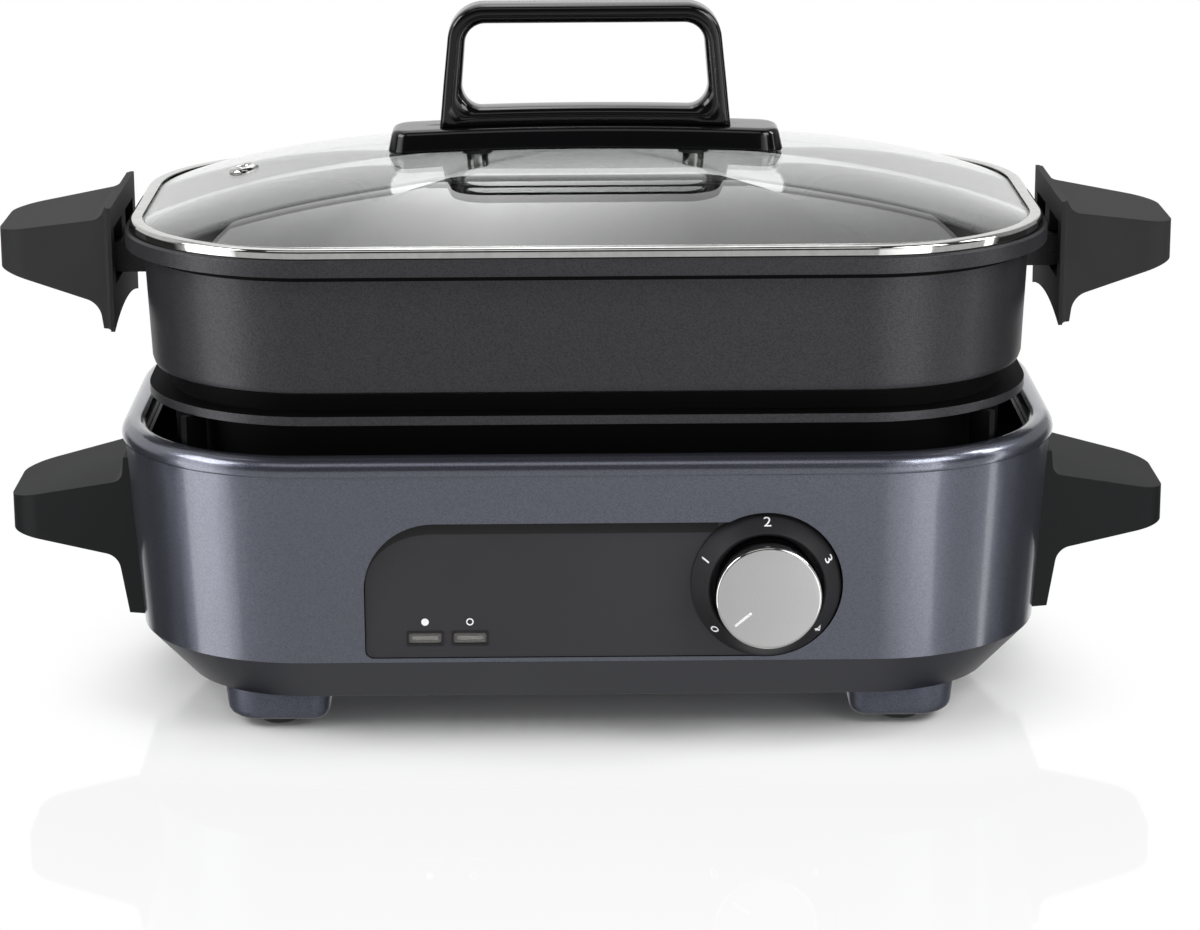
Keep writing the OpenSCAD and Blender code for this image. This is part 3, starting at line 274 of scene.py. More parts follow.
# %% [markdown]
# ## Mouldings
# Plastics take their surface from the tool. A spark-eroded tool leaves a fine even grain, a polished
# one leaves gloss. So a moulding is a base colour that drifts a little, a grain height of a few
# hundredths of a millimetre, and a roughness that drifts with the colour.

# %% Mouldings
def tinted(code, factor):
    """The same colour, darker or lighter."""
    return "#" + "".join("%02X" % min(255, round(int(code[i:i + 2], 16) * factor)) for i in (1, 3, 5))


def moulded(name, code, roughness, grain_mm, depth_um, **shader):
    material, tree, bsdf, place = start_material(name)
    grain = add(tree, "ShaderNodeTexNoise", {"Vector": place, "Scale": 1 / (grain_mm * MM),
                                             "Detail": 2.0})
    cloud = add(tree, "ShaderNodeTexNoise", {"Vector": place, "Scale": 1 / (45 * MM), "Detail": 4.0})
    colour = add(tree, "ShaderNodeValToRGB", {"Fac": cloud.outputs["Fac"]},
                 stops=[(0.3, tinted(code, 0.93)), (0.7, tinted(code, 1.07))])
    rough = add(tree, "ShaderNodeMapRange", {"Value": cloud.outputs["Fac"], "To Min": roughness - 0.04,
                                             "To Max": roughness + 0.04})
    relief = add(tree, "ShaderNodeBump", {"Height": grain.outputs["Fac"], "Strength": 0.4,
                                          "Distance": depth_um * 1e-6})
    wire(tree, bsdf, {"Base Color": colour.outputs["Color"], "Roughness": rough.outputs["Result"],
                      "IOR": 1.49, "Normal": relief.outputs["Normal"], **shader})
    return material


# ABS from a fine-grained tool: a soft even sheen on the sloping band, the panel and the dial ring
satin_abs = moulded("satin_abs", "#191A24", 0.42, 0.5, 10, **{"Specular IOR Level": 0.3})
panel_abs = moulded("panel_abs", "#242328", 0.48, 0.35, 5)
dial_abs = moulded("dial_abs", "#222224", 0.50, 0.4, 6, **{"Specular IOR Level": 0.2})
# black ABS of the knob's skirt and the gland: deeper, with a coarser grain
black_abs = moulded("black_abs", "#121213", 0.45, 0.6, 12)
# phenolic resin stands heat: dry and grained on the grips, polished like lacquer on the lid handle
pan_grip_phenolic = moulded("pan_grip_phenolic", "#272728", 0.62, 0.6, 30,
                            **{"Specular IOR Level": 0.12})
base_grip_phenolic = moulded("base_grip_phenolic", "#131415", 0.56, 0.6, 24,
                             **{"Specular IOR Level": 0.15})
gloss_phenolic = moulded("gloss_phenolic", "#070708", 0.12, 4.0, 3, **{"Specular IOR Level": 0.4})
# silicone rubber of the pads: dull and dark; a strip of it is painted shadow at the panel's top;
# the clear grade of the washers lets light through
silicone_rubber = moulded("silicone_rubber", "#101011", 0.75, 0.8, 30)
clear_silicone = moulded("clear_silicone", "#D4D4D2", 0.30, 0.8, 8, **{"Transmission Weight": 0.5})
# vitreous enamel fired on the tray: black with a soft glassy gleam
black_enamel = moulded("black_enamel", "#070708", 0.30, 1.5, 8, **{"Specular IOR Level": 0.2})
# PTFE baked on the pan's inside and foot: the blackest, driest surface of the object; it also gives the
# painted shade on the pan's neck and the painted shadow line under the rim band
black_ptfe = moulded("black_ptfe", "#060606", 0.62, 0.8, 12, **{"Specular IOR Level": 0.08})
# steatite is pressed and fired: chalky white; the board's green comes from solder resist over copper
steatite = moulded("steatite", "#E2DFD6", 0.60, 0.8, 12)
circuit_board = moulded("circuit_board", "#1D4A2B", 0.35, 0.5, 5)
# white printing ink: flat and opaque
white_print = moulded("white_print", "#E6E6E6", 0.50, 0.4, 2)
print("materials so far:", len(bpy.data.materials))

# %% [markdown]
# ## Metals and glass
# Polished stainless steel is nearly a mirror with faint wiping marks. The knob's face is aluminium
# with a satin finish: its lathe lines are finer than a pixel, so they show only as roughness.
# Soda-lime glass has an index of 1.52 and a trace of green.

# %% Metals
def worked_metal(name, code, roughness, mark_mm):
    material, tree, bsdf, place = start_material(name)
    marks = add(tree, "ShaderNodeTexNoise", {"Vector": place, "Scale": 1 / (mark_mm * MM), "Detail": 3.0})
    colour = add(tree, "ShaderNodeValToRGB", {"Fac": marks.outputs["Fac"]},
                 stops=[(0.35, tinted(code, 0.95)), (0.65, code)])
    rough = add(tree, "ShaderNodeMapRange", {"Value": marks.outputs["Fac"], "To Min": roughness * 0.8,
                                             "To Max": roughness * 1.2})
    wire(tree, bsdf, {"Base Color": colour.outputs["Color"], "Metallic": 1.0,
                      "Roughness": rough.outputs["Result"]})
    return material


# polished stainless steel: light and dark images of the room side by side
polished_steel = worked_metal("polished_steel", "#C8C8C6", 0.07, 4.0)
# turned aluminium: pale, with a broad soft gleam
satin_aluminium = worked_metal("satin_aluminium", "#D2D2D2", 0.34, 0.4)
# zinc-plated steel of screws and brackets: grey and cloudy
zinc_plate = worked_metal("zinc_plate", "#B4B3AE", 0.34, 1.5)
# the heater's sheath, browned by heat
heater_sheath = worked_metal("heater_sheath", "#5A544E", 0.50, 3.0)
print("metals:", polished_steel.name, satin_aluminium.name)

# %% Glass and lens
# pressed soda-lime glass: clear, with a slow swell that bends mirror images a little
tempered_glass, tree, bsdf, place = start_material("tempered_glass")
wave = add(tree, "ShaderNodeTexNoise", {"Vector": place, "Scale": 1 / (80 * MM), "Detail": 1.0})
swell = add(tree, "ShaderNodeBump", {"Height": wave.outputs["Fac"], "Strength": 0.03, "Distance": 0.0004})
wire(tree, bsdf, {"Base Color": linear("#FCFEFD"), "Roughness": 0.0, "IOR": 1.52,
                  "Transmission Weight": 1.0, "Normal": swell.outputs["Normal"]})

# moulded acrylic with a grey dye and a rough back: a dim window
smoky_acrylic, tree, bsdf, place = start_material("smoky_acrylic")
haze = add(tree, "ShaderNodeTexNoise", {"Vector": place, "Scale": 1 / (1.1 * MM), "Detail": 2.0})
cloudy = add(tree, "ShaderNodeMapRange", {"Value": haze.outputs["Fac"], "To Min": 0.10, "To Max": 0.22})
wire(tree, bsdf, {"Base Color": linear("#A4A29E"), "Roughness": cloudy.outputs["Result"], "IOR": 1.49,
                  "Transmission Weight": 0.75})
print("materials:", len(bpy.data.materials))

# %% [markdown]
# ## Shape helpers
# Nearly every form here is a section carried round a rounded rectangle, or turned about an axis.
# Both are grids: rings of points with the same count, joined by four-sided faces. The corners of a
# section become short arcs, because no moulded or pressed edge is perfectly sharp.

# %% Outlines
def outline(w, d, r, corner=12, along=(1, 1)):
    """Points once round a rounded rectangle, with straight sides in equal steps."""
    points = []
    for i, (sx, sy) in enumerate(((1, 1), (-1, 1), (-1, -1), (1, -1))):
        for k in range(corner + 1):
            a = math.radians(90 * i + 90 * k / corner)
            points.append((sx * (w / 2 - r) + r * math.cos(a), sy * (d / 2 - r) + r * math.sin(a)))
        x, y = points[-1]
        count = along[i % 2]
        for k in range(1, count):
            t = 1 - 2 * k / count
            points.append((x * t, y) if i % 2 == 0 else (x, y * t))
    return points


def round_corners(points, radii, steps=4):
    """A closed polygon with an arc in place of each corner."""
    result = []
    for i, corner in enumerate(points):
        p = Vector(corner)
        back = Vector(points[i - 1]) - p
        ahead = Vector(points[(i + 1) % len(points)]) - p
        half = back.angle(ahead) / 2
        reach = min(radii[i] / math.tan(half), back.length * 0.49, ahead.length * 0.49)
        middle = p + (back.normalized() + ahead.normalized()).normalized() * (reach / math.cos(half))
        start, end = p + back.normalized() * reach, p + ahead.normalized() * reach
        for k in range(steps + 1):
            spoke = (start.lerp(end, k / steps) - middle).normalized()
            result.append(tuple(middle + spoke * reach * math.tan(half)))
    return result


print("outline points:", len(outline(360, 216, 73, 12, (4, 2))))

# %% Meshes
def shade_smooth(obj, degrees):
    for polygon in obj.data.polygons:
        polygon.use_smooth = True
    obj.data.set_sharp_from_angle(angle=math.radians(degrees))


def loft(name, rings, material, body, closed=False, degrees=32):
    """Joins rings of equal length. Closed joins the last ring to the first, else the ends are capped."""
    n = len(rings[0])
    faces = []
    for i in range(len(rings) if closed else len(rings) - 1):
        j = (i + 1) % len(rings)
        faces.extend((i * n + k, i * n + (k + 1) % n, j * n + (k + 1) % n, j * n + k) for k in range(n))
    if not closed:
        faces.append(tuple(range(n)))
        faces.append(tuple(range((len(rings) - 1) * n, len(rings) * n)))
    mesh = bpy.data.meshes.new(name)
    mesh.from_pydata([tuple(c * MM for c in p) for ring in rings for p in ring], [], faces)
    grid = bmesh.new()
    grid.from_mesh(mesh)
    bmesh.ops.remove_doubles(grid, verts=grid.verts, dist=1e-6)
    bmesh.ops.recalc_face_normals(grid, faces=grid.faces)
    grid.to_mesh(mesh)
    grid.free()
    obj = bpy.data.objects.new(name, mesh)
    scene.collection.objects.link(obj)
    mesh.materials.append(material)
    shade_smooth(obj, degrees)
    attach(obj, body)
    return obj


def softened(name, node, material, width_mm=0.0, steps=2, degrees=32):
    """A copy of a node's mesh with welded corners and rounded edges, shown in its place."""
    mesh = nodes[node].data.copy()
    mesh.name = name
    obj = bpy.data.objects.new(name, mesh)
    scene.collection.objects.link(obj)
    grid = bmesh.new()
    grid.from_mesh(mesh)
    bmesh.ops.remove_doubles(grid, verts=grid.verts, dist=2e-6)
    bmesh.ops.dissolve_limit(grid, angle_limit=math.radians(0.5), verts=grid.verts, edges=grid.edges)
    bmesh.ops.recalc_face_normals(grid, faces=grid.faces)
    grid.to_mesh(mesh)
    grid.free()
    mesh.materials.clear()
    mesh.materials.append(material)
    shade_smooth(obj, degrees)
    if width_mm:
        edge = obj.modifiers.new("rounded_edges", "BEVEL")
        edge.width = width_mm * MM
        edge.segments = steps
        edge.limit_method = "ANGLE"
        edge.angle_limit = math.radians(degrees)
        obj.modifiers.new("even_shading", "WEIGHTED_NORMAL").keep_sharp = True
    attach(obj, body_of_node[node])
    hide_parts(node)
    return obj


print("helpers ready")

# %% [markdown]
# ## The base
# The housing, its trim ring and the sloping band below are three mouldings that meet at thin seams.
# The model has their exact walls, so a copy with rounded edges and paint is enough. The black tray
# lines the well, and rubber pads stand on the table.

# %% Base shell
softened("base_shell", "base_housing", metallic_paint, 0.6)
softened("trim_ring", "top_ring", ring_paint, 0.3)
softened("sloping_band", "bottom_cover", satin_abs, 0.9)
softened("rubber_pads", "rubber_feet", silicone_rubber, 0.5)
softened("heat_tray", "well_tray", black_enamel, 0.3)
print("base shell: 5 pieces")

# %% [markdown]
# A foot is a moulded block that narrows a little downwards, so that it leaves its tool. Its outer corner
# follows the wide corner of the cover above, and a round pocket below takes the rubber pad. Its lowest
# rounded edge is coloured black: painted shade, for the dark floor beneath that this edge would mirror.

# %% Feet
foot_high = Vector(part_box("foot_blocks")[1]) / MM
foot_w, foot_d, outer_r, inner_r = 42.0, 34.0, 16.0, 9.0
pocket_r, pocket_top, painted_shade_z = 8.2, 7.0, 4.9
# how far the wall stands in at each height
levels = ((0.2, 16.0), (1.1, 7.4), (1.4, 6.0), (2.1, 4.8), (3.2, 4.15), (4.6, 4.0))
signs = ((1, 1), (-1, 1), (-1, -1), (1, -1))
for name, own in zip(("back_right", "back_left", "front_left", "front_right"), signs):
    x, y = own[0] * (foot_high.x - foot_w / 2), own[1] * (foot_high.y - foot_d / 2)
    rings = []
    for inset, z in levels:
        corners = [(i * (foot_w / 2 - inset), j * (foot_d / 2 - inset)) for i, j in signs]
        radii = [(outer_r if corner == own else inner_r) - inset for corner in signs]
        rings.append([(x + px, y + py, z) for px, py in round_corners(corners, radii, 10)])
    angles = [math.atan2(py - y, px - x) for px, py, z in rings[-1]]
    pocket = [(x + pocket_r * math.cos(a), y + pocket_r * math.sin(a)) for a in angles]
    rings += [[(px, py, z) for px, py in pocket] for z in (levels[-1][1], pocket_top)]
    foot = loft("foot_" + name, rings, shaded_foot_paint, "base", degrees=40)
    # the faces at the bottom take black ABS: painted shade along the foot's lower edge
    foot.data.materials.append(black_abs)
    for polygon in foot.data.polygons:
        polygon.material_index = int(polygon.center.z < painted_shade_z * MM)
    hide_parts("foot_blocks")
print("foot centre", round(x, 1), round(y, 1))

# %% [markdown]
# ## Dial and knob
# The dial ring is a short cone round the knob. The knob is a black skirt with a metal cap: a satin
# face, and a polished side that shows as a bright ring. Splitting the two finishes by the direction
# that each face looks in is quicker than two meshes.

# %% Dial and knob
softened("front_panel", "control_panel", panel_abs, 0.25)
softened("dial_ring", "dial_bezel", dial_abs, 0.5, 3)
softened("knob_skirt", "knob_base", black_abs, 0.4)
knob_face = softened("knob_face", "knob_cap", satin_aluminium)
knob_face.data.materials.append(polished_steel)
for polygon in knob_face.data.polygons:
    polygon.material_index = 0 if polygon.normal.y < -0.999 else 1
softened("knob_mark", "knob_pointer", white_print, 0.15)
print("knob faces:", len(knob_face.data.polygons))

# %% [markdown]
# The panel lies in a recess that gets deeper towards its top. A black rubber strip on the panel there is
# painted shadow of the recess's upper edge: it is widest along the top and runs out down the rounded left
# corner.

# %% Painted shadow at the panel's top
recess_low, recess_high = (Vector(c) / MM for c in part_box("control_panel"))
panel_h, corner_r, shadow_w, shadow_end = 53.2, 26.0, 4.8, 48.0
shadow_top = recess_low.z + panel_h
hub = Vector((recess_low.x + corner_r, shadow_top - corner_r))
turns = [math.radians(90 * k / 24) for k in range(25)]


def shadow_edge(width):
    """The corner and the top side; width narrows towards the corner's lower end."""
    reach = [corner_r - width * math.sin(a) ** 2 for a in turns]
    corner = [(hub.x - r * math.cos(a), hub.y + r * math.sin(a)) for r, a in zip(reach, turns)]
    return corner + [(shadow_end, shadow_top - width)]


strip = shadow_edge(0.0) + shadow_edge(shadow_w)[:0:-1]
# the strip lies just in front of the panel: painted shadow of the recess's upper edge
loft("panel_shadow", [[(x, recess_low.y - rise, z) for x, z in strip] for rise in (0.02, 0.2)],
     silicone_rubber, "base")
print("panel", [round(c, 1) for c in recess_high - recess_low])

# %% [markdown]
# The numbers are thin flat shapes laid on the cone, so they face up as printed ones do. They stand 65
# degrees apart, like the switch's settings, and the pointer rests on the zero.

# %% Dial numbers
bezel_low, bezel_high = (Vector(c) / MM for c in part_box("dial_bezel"))
dial_x = (bezel_low.x + bezel_high.x) / 2
dial_z = (bezel_low.z + bezel_high.z) / 2
panel_y = bezel_high.y
cone_out = (bezel_high.x - bezel_low.x) / 2
cone_w, cone_foot = 6.2, 0.8
cone_in = cone_out - cone_w
cone_rise = bezel_high.y - bezel_low.y - cone_foot
number_h, ink = 6.4, 0.04


def dial_number(text, degrees):
    a = math.radians(degrees)
    out, front = Vector((math.sin(a), 0, math.cos(a))), Vector((0, -1, 0))
    slant = math.hypot(cone_rise, cone_w)
    normal = (out * cone_rise + front * cone_w) / slant
    up = (out * cone_w - front * cone_rise) / slant
    spot = (Vector((dial_x, panel_y, dial_z)) + out * (cone_out + cone_in) / 2
            + front * (cone_foot + cone_rise / 2) + normal * ink)
    curve = bpy.data.curves.new("number", "FONT")
    curve.body = text
    curve.size = number_h * MM
    curve.align_x = "CENTER"
    curve.align_y = "CENTER"
    curve.extrude = ink * MM
    draft = bpy.data.objects.new("number", curve)
    scene.collection.objects.link(draft)
    bpy.context.view_layer.update()
    obj = bpy.data.objects.new("dial_number_" + text, bpy.data.meshes.new_from_object(draft))
    bpy.data.objects.remove(draft)
    obj.data.materials.clear()
    obj.data.materials.append(white_print)
    scene.collection.objects.link(obj)
    obj.matrix_world = (Matrix.Translation(spot * MM)
                        @ Matrix((up.cross(normal), up, normal)).transposed().to_4x4())
    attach(obj, "base")


for number, degrees in (("0", 230), ("1", 295), ("2", 0), ("3", 65), ("4", 130)):
    dial_number(number, degrees)
print("dial centre", round(dial_x, 1), round(dial_z, 1), "panel face", round(panel_y, 1))

# %% [markdown]
# ## Indicator lights
# Each light is a small window: a thin dark frame on the panel, a smoky lens, and a short bright bar
# behind it for the lamp's reflector. A plain dot and a plain ring above tell the two lights apart.

# %% Indicator lights
flange, mark_up, mark_r = 1.0, 6.4, 1.4
inner_radius = {"left": 0.01, "right": 0.95}


def window_ring(x, z, w, h, r, ahead):
    return [(x + px, panel_y - ahead, z + pz) for px, pz in outline(w, h, r, 5)]


def round_mark(name, x, z, r_out, r_in):
    spokes = [math.tau * k / 32 for k in range(32)]
    rings = [[(x + r * math.cos(a), panel_y - ahead, z + r * math.sin(a)) for a in spokes]
             for r, ahead in ((r_out, 0.02), (r_out, 0.1), (r_in, 0.1), (r_in, 0.02))]
    loft(name, rings, white_print, "base", closed=True)


for node, side in (("power_light", "left"), ("ready_light", "right")):
    low, high = (Vector(c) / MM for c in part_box(node))
    x, z = (low.x + high.x) / 2, (low.z + high.z) / 2
    w, h = high.x - low.x - 2 * flange, high.z - low.z - 2 * flange
    softened(side + "_lens", node, smoky_acrylic, 0.25)
    loft(side + "_frame", [window_ring(x, z, w + 2 * g, h + 2 * g, 0.8, ahead) for g, ahead in
                           ((0.8, 0.0), (0.8, 0.2), (0.6, 0.3), (-0.1, 0.3), (-0.1, 0.0))],
         dial_abs, "base", closed=True)
    loft(side + "_reflector", [window_ring(x, z, w * s, h * 0.3, 0.4, ahead) for s, ahead in
                               ((0.78, -0.9), (0.78, -0.6), (0.74, -0.4))], white_print, "base")
    round_mark(side + "_mark", x, z + mark_up, mark_r, inner_radius[side])
print("lights at height", round(z, 1))

# %% [markdown]
# ## Side handles
# They are single mouldings with generous edges. The pan's handles open towards the pan in a flared
# mouth with ribs, which the model already has, so the copies need only larger edge radii.

# %% Side handles
for side in ("left", "right"):
    softened("base_grip_" + side, "base_handle_" + side, base_grip_phenolic, 2.0, 3)
    softened("pan_grip_" + side, "pan_handle_" + side, pan_grip_phenolic, 1.2, 3)
print("handles: 4 pieces")

# %% [markdown]
# ## The pan
# A casting with a rim band, a wall that leans in, a neck, a thin seating flange and a foot. Its outside
# is sprayed with the sparkling film. The inside and the foot have a plain black film. The neck and the
# flange's top get the same black as painted shade for the gap under the wall, so they sink back.
# One mesh takes both: each face is sorted by its height and by whether it looks outwards.

# %% Pan
cast_pan = softened("cast_pan", "pan", nonstick_film, 0.6, 2, 28)
cast_pan.data.materials.append(black_ptfe)
rim_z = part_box("pan")[1][2] / MM
core_x, core_y, pan_r = 102.4, 30.2, 74.0
wall_z, flange_z, seat_z = rim_z - 52.9, rim_z - 60.0, rim_z - 64.3


def looks_out(polygon):
    p, n = polygon.center / MM, polygon.normal
    out = Vector((p.x - max(-core_x, min(core_x, p.x)), p.y - max(-core_y, min(core_y, p.y))))
    faces_out = n.x * out.x + n.y * out.y > -0.2 * out.length and n.z < 0.8
    on_wall = p.z > wall_z and out.length > pan_r - 14
    on_flange = seat_z < p.z < flange_z and out.length > pan_r - 9
    return faces_out and (on_wall or on_flange)


# faces that don't look out get the black film: the real coating inside and on the foot, painted shade on
# the neck and the flange's top
for polygon in cast_pan.data.polygons:
    polygon.material_index = 0 if looks_out(polygon) else 1

# painted shadow: a fine dark line all round on the wall just under the rim band, where the band's shadow
# falls
rings = []
for inset, drop in ((6.75, 9.2), (6.75, 6.5), (7.6, 6.5), (7.6, 9.2)):
    r = pan_r - inset
    rings.append([(x, y, rim_z - drop) for x, y in outline(2 * (core_x + r), 2 * (core_y + r), r, 24)])
loft("rim_shadow_line", rings, black_ptfe, "pan", closed=True)
sprayed = sum(p.material_index == 0 for p in cast_pan.data.polygons)
print("pan faces outside:", sprayed, "of", len(cast_pan.data.polygons))

# %% [markdown]
# ## The lid
# The dome is a stack of shrinking rounded rectangles whose height follows a cubic curve: nearly flat
# in the middle and steep at the edge, as pressed glass is. The steel band is a channel section that
# wraps the glass edge. Rings give far smoother reflections than the solid's flat facets.
# The vent is a turned eyelet, rolled over the edge of a hole in the glass, so its section is carried
# round an axis that leans with the dome.

# %% Glass dome
rim_low, rim_high = (Vector(c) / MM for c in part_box("lid_rim"))
lid_w, lid_d, lid_r = rim_high.x - rim_low.x, rim_high.y - rim_low.y, 72.1
lid_z, lid_h = rim_low.z, rim_high.z - rim_low.z
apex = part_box("lid_glass")[1][2] / MM
glass_t, dome_in, seat_h = 4.0, 5.4, 0.95
edge_top = lid_z + seat_h + glass_t
dome_h = apex - edge_top


def lid_ring(inset, share, z):
    points = outline(lid_w - 2 * inset, lid_d - 2 * inset, lid_r - inset, 36, (24, 10))
    return [(x * share, y * share, z) for x, y in points]


shares = [math.sin(math.radians(90 * k / 28)) for k in range(28, 0, -1)]
over = [lid_ring(dome_in, s, apex - dome_h * s ** 3) for s in shares]
under = [lid_ring(dome_in, s, apex - dome_h * s ** 3 - glass_t) for s in reversed(shares)]
edge = [lid_ring(i, 1, edge_top + z)
        for i, z in ((1.4, -glass_t), (1.0, 0.5 - glass_t), (1.0, -0.5), (1.4, 0))]
glass = loft("glass_dome", under + edge + over, tempered_glass, "lid", degrees=60)
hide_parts("lid_glass")
print("dome height", round(dome_h, 1), "glass edge at", round(edge_top, 1))

# %% Steel band
lip, sheet, wrap = 5.0, 0.7, 0.8
section = round_corners([(-lip, 0), (0, 0), (0, lid_h), (-lip, lid_h), (-lip, lid_h - sheet),
                         (-wrap, lid_h - sheet), (-wrap, sheet), (-lip, sheet)],
                        [0.3, 1.6, 1.6, 0.3, 0.3, 0.3, 0.3, 0.3], 5)
band = loft("steel_band", [lid_ring(-out, 1, lid_z + z) for out, z in section], polished_steel, "lid",
            closed=True, degrees=50)
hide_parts("lid_rim")
print("band section points:", len(section))

# %% Steam vent
vent_low, vent_high = (Vector(c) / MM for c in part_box("steam_vent"))
vent_middle = (vent_low + vent_high) / 2
# the dome leans by 13 degrees where the vent sits
vent_up, vent_back = Vector((-0.2265, 0, 0.974)), Vector((0, 1, 0))
vent_side = vent_back.cross(vent_up)
spokes = [math.tau * k / 48 for k in range(48)]
eyelet = [(2.7, -3.4), (2.7, 2.6), (3.2, 3.2), (4.0, 3.5), (5.0, 3.3), (5.8, 2.7), (6.1, 2.2),
          (5.9, 2.05), (3.3, 2.05), (3.3, -2.1), (4.9, -2.1), (4.9, -2.9), (4.4, -3.4)]


def vent_ring(r, rise):
    return [tuple(vent_middle + vent_up * rise + (vent_side * math.cos(a) + vent_back * math.sin(a)) * r)
            for a in spokes]


vent = loft("vent_eyelet", [vent_ring(r, rise) for r, rise in eyelet], polished_steel, "lid",
            closed=True, degrees=40)
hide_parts("steam_vent")
print("eyelet points:", len(eyelet))

# %% [markdown]
# ## Lid handle
# The plate follows the glass in a shallow arch, and its sides lean out to a thin lower edge. The bow
# is one ring: from its outer edge the section runs over a flat face with a fine groove into a rounded
# lip round the opening. Lofting between two outlines gives all of that in one mesh.

# %% Handle plate
plate_low, plate_high = (Vector(c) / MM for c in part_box("lid_handle_plate"))
plate_w, plate_d = plate_high.x - plate_low.x, plate_high.y - plate_low.y
plate_top, plate_t = plate_high.z, 8.5
bend = (plate_w / 2) ** 2 / (2 * (plate_high.z - plate_low.z - plate_t))


def arch(x):
    return x * x / (2 * bend)


rings = []
for inset, rise in ((0.9, 0.0), (0.2, 0.1), (0.0, 0.5), (0.1, 1.1), (1.3, 6.4), (1.7, 7.4), (2.4, 8.1),
                    (3.4, 8.45), (5.0, 8.5), (9.0, 8.5), (13.6, 8.5)):
    points = outline(plate_w - 2 * inset, plate_d - 2 * inset, max(9.0 - inset, 0.6), 10, (30, 2))
    rings.append([(x, y, plate_top - plate_t + rise - arch(x)) for x, y in points])
plate = loft("handle_plate", rings, gloss_phenolic, "lid", degrees=40)
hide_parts("lid_handle_plate")
print("plate", round(plate_w, 1), "by", round(plate_d, 1), "bend radius", round(bend))

# %% Bow
bow_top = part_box("lid_handle")[1][2] / MM
floor_h, bar_h, fall = 6.8, 7.4, 9.0
floor_z = plate_top + floor_h


def bow_loop(corners, radii, steps=10, sides=14):
    """A rounded loop of points, bent with the plate's arch near the plate."""
    rounded, n = round_corners(corners, radii, steps), steps + 1
    loop = []
    for i in range(4):
        arc, following = rounded[i * n:(i + 1) * n], rounded[((i + 1) % 4) * n]
        loop.extend(arc)
        loop.extend(tuple(Vector(arc[-1]).lerp(Vector(following), k / sides)) for k in range(1, sides))
    return [(x, z - arch(x) * min(1.0, max(0.0, (floor_z + fall - z) / fall))) for x, z in loop]


outer = bow_loop([(-56.4, plate_top - 0.6), (56.4, plate_top - 0.6), (51.5, bow_top), (-51.5, bow_top)],
                 [0.6, 0.6, 14, 14])
inner = bow_loop([(-48.3, floor_z), (48.3, floor_z), (45.6, bow_top - bar_h), (-45.6, bow_top - bar_h)],
                 [8.0] * 4)
half = 8.5
# the front face from the outer edge, 0, to the opening, 1, and how far it lies behind the front
face = [(0.0, 2.2), (0.05, 1.0), (0.14, 0.3), (0.26, 0.0), (0.50, 0.0), (0.535, 0.35), (0.57, 0.45),
        (0.61, 0.3), (0.66, 0.25), (0.80, 0.7), (0.92, 1.9), (0.98, 3.4), (1.0, 5.0)]
section = [(t, back - half) for t, back in face] + [(t, half - back) for t, back in reversed(face)]
rings = [[(o[0] + (i[0] - o[0]) * t, y, o[1] + (i[1] - o[1]) * t) for o, i in zip(outer, inner)]
         for t, y in section]
bow = loft("bow_handle", rings, gloss_phenolic, "lid", closed=True, degrees=50)
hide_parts("lid_handle")
print("bow top", round(bow_top, 1))

# %% [markdown]
# ## Pieces inside
# Heater, sensor, thermostat and fasteners keep the model's own shapes, because they show only when
# the pan is lifted out, or from below. Each still gets the finish of its real material.

# %% Inner pieces
inner_finishes = {
    zinc_plate: ["tray_screws", "cover_screws", "thermostat", "thermostat_nut", "thermostat_shaft",
                 "element_clips", "sensor_guide", "sensor_plunger", "thermal_fuse", "base_handle_screws",
                 "pan_handle_screws"],
    steatite: ["element_insulators", "terminal_block"],
    circuit_board: ["indicator_board"],
    heater_sheath: ["heating_element"],
    black_abs: ["cord_gland"],
    clear_silicone: ["lid_washers"],
    polished_steel: ["lid_screws"],
}
for finish, names in inner_finishes.items():
    for node in names:
        nodes[node].data.materials.clear()
        nodes[node].data.materials.append(finish)
print("inner pieces:", sum(len(names) for names in inner_finishes.values()))

# %% [markdown]
# The sensor's spring is wound wire between the tray and the sensor's cap. In the cooker it gets shorter
# when the cap is pressed, 3 mm at the most, its foot on the tray and its top going down with the cap;
# here it keeps the model's shape, in a mesh of its own.

# %% Sensor spring
coil = softened("coil_spring", "sensor_spring", zinc_plate, degrees=70)
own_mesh(coil)

# %% [markdown]
# ## Floor
# A pale lacquered floor with a weak, soft mirror image. Close to the object it is an ordinary
# surface that takes the shadow. Further out it turns into plain white for every ray that shows a
# picture: from the camera, from mirrors and through glass. So there is no horizon. The mirror image
# fades with the distance too.

# %% Floor lacquer
# lacquer on a pale floor: nearly white, with a faint gleam
floor_lacquer, tree, bsdf, place = start_material("floor_lacquer")
cloud = add(tree, "ShaderNodeTexNoise", {"Vector": place, "Scale": 3.0, "Detail": 2.0})
tone = add(tree, "ShaderNodeValToRGB", {"Fac": cloud.outputs["Fac"]},
           stops=[(0.0, "#F4F4F4"), (1.0, "#F8F8F8")])
sheen = add(tree, "ShaderNodeMapRange", {"Value": cloud.outputs["Fac"], "To Min": 0.08, "To Max": 0.12})
wire(tree, bsdf, {"Base Color": tone.outputs["Color"], "Roughness": sheen.outputs["Result"],
                  "Specular IOR Level": 0.2})
print("lacquer nodes:", len(tree.nodes))

# %% Floor that turns white
path = add(tree, "ShaderNodeLightPath")
camera_or_mirror = add(tree, "ShaderNodeMath", {0: path.outputs["Is Camera Ray"],
                                               1: path.outputs["Is Glossy Ray"]}, operation="MAXIMUM")
shown = add(tree, "ShaderNodeMath", {0: camera_or_mirror.outputs[0],
                                    1: path.outputs["Is Transmission Ray"]}, operation="MAXIMUM")
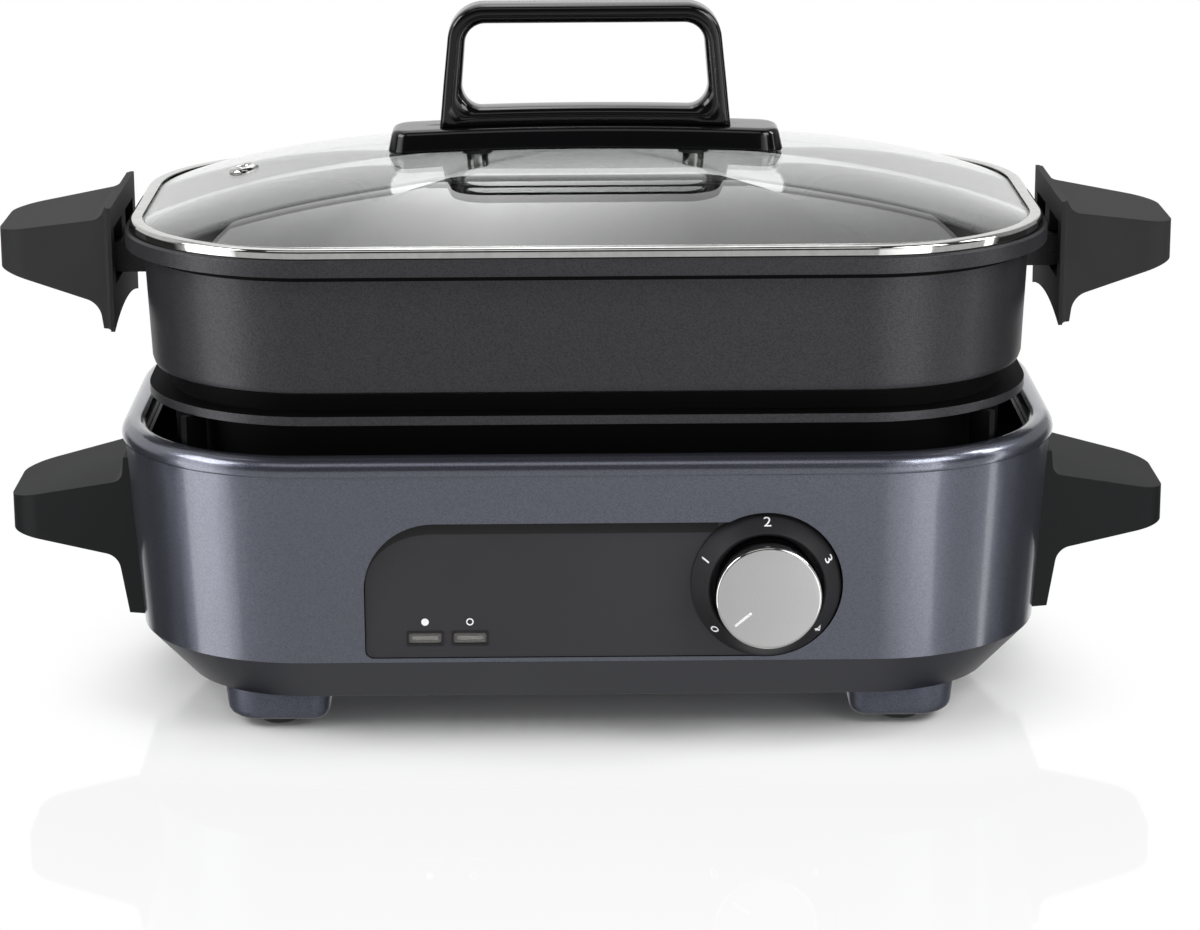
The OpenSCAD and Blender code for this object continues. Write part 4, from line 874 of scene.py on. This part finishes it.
# distance from the middle of the base's outline, so that the shadow's edge follows that outline
quarter = add(tree, "ShaderNodeVectorMath", {0: place}, operation="ABSOLUTE")
past = add(tree, "ShaderNodeVectorMath", {0: quarter.outputs["Vector"], 1: (0.11, 0.035, 0.0)},
           operation="SUBTRACT")
outside = add(tree, "ShaderNodeVectorMath", {0: past.outputs["Vector"], 1: (0.0, 0.0, 0.0)},
              operation="MAXIMUM")
distance = add(tree, "ShaderNodeVectorMath", {0: outside.outputs["Vector"]}, operation="LENGTH")
far = add(tree, "ShaderNodeMapRange", {"Value": distance.outputs["Value"], "From Min": 0.045,
                                       "From Max": 0.115}, interpolation_type="SMOOTHSTEP")
blend = add(tree, "ShaderNodeMath", {0: far.outputs["Result"], 1: shown.outputs[0]}, operation="MULTIPLY")
glow = add(tree, "ShaderNodeEmission", {"Color": linear("#FFFFFF"), "Strength": 1.0})
gloss = add(tree, "ShaderNodeBsdfGlossy", {"Color": linear("#FFFFFF"), "Roughness": 0.04})
fade = add(tree, "ShaderNodeMapRange", {"Value": distance.outputs["Value"], "From Min": 0.12,
                                        "From Max": 0.42, "To Min": 0.08, "To Max": 0.0})
polish = add(tree, "ShaderNodeMixShader", {"Fac": fade.outputs["Result"], 1: glow.outputs["Emission"],
                                           2: gloss.outputs["BSDF"]})
mix = add(tree, "ShaderNodeMixShader", {"Fac": blend.outputs[0], 1: bsdf.outputs["BSDF"],
                                        2: polish.outputs["Shader"]})
wire(tree, tree.nodes["Material Output"], {"Surface": mix.outputs["Shader"]})
print("floor nodes:", len(tree.nodes))

# %% Floor
mesh = bpy.data.meshes.new("studio_floor")
mesh.from_pydata([(-6, -6, 0), (6, -6, 0), (6, 6, 0), (-6, 6, 0)], [], [(0, 1, 2, 3)])
mesh.materials.append(floor_lacquer)
floor = bpy.data.objects.new("studio_floor", mesh)
# mirrors on the object show the world's room below them, not this floor
floor.visible_glossy = False
scene.collection.objects.link(floor)
floor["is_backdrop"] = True
print("floor laid")

# %% Size and finish
low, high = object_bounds()
print("size in mm:", [round((b - a) / MM, 1) for a, b in zip(low, high)])
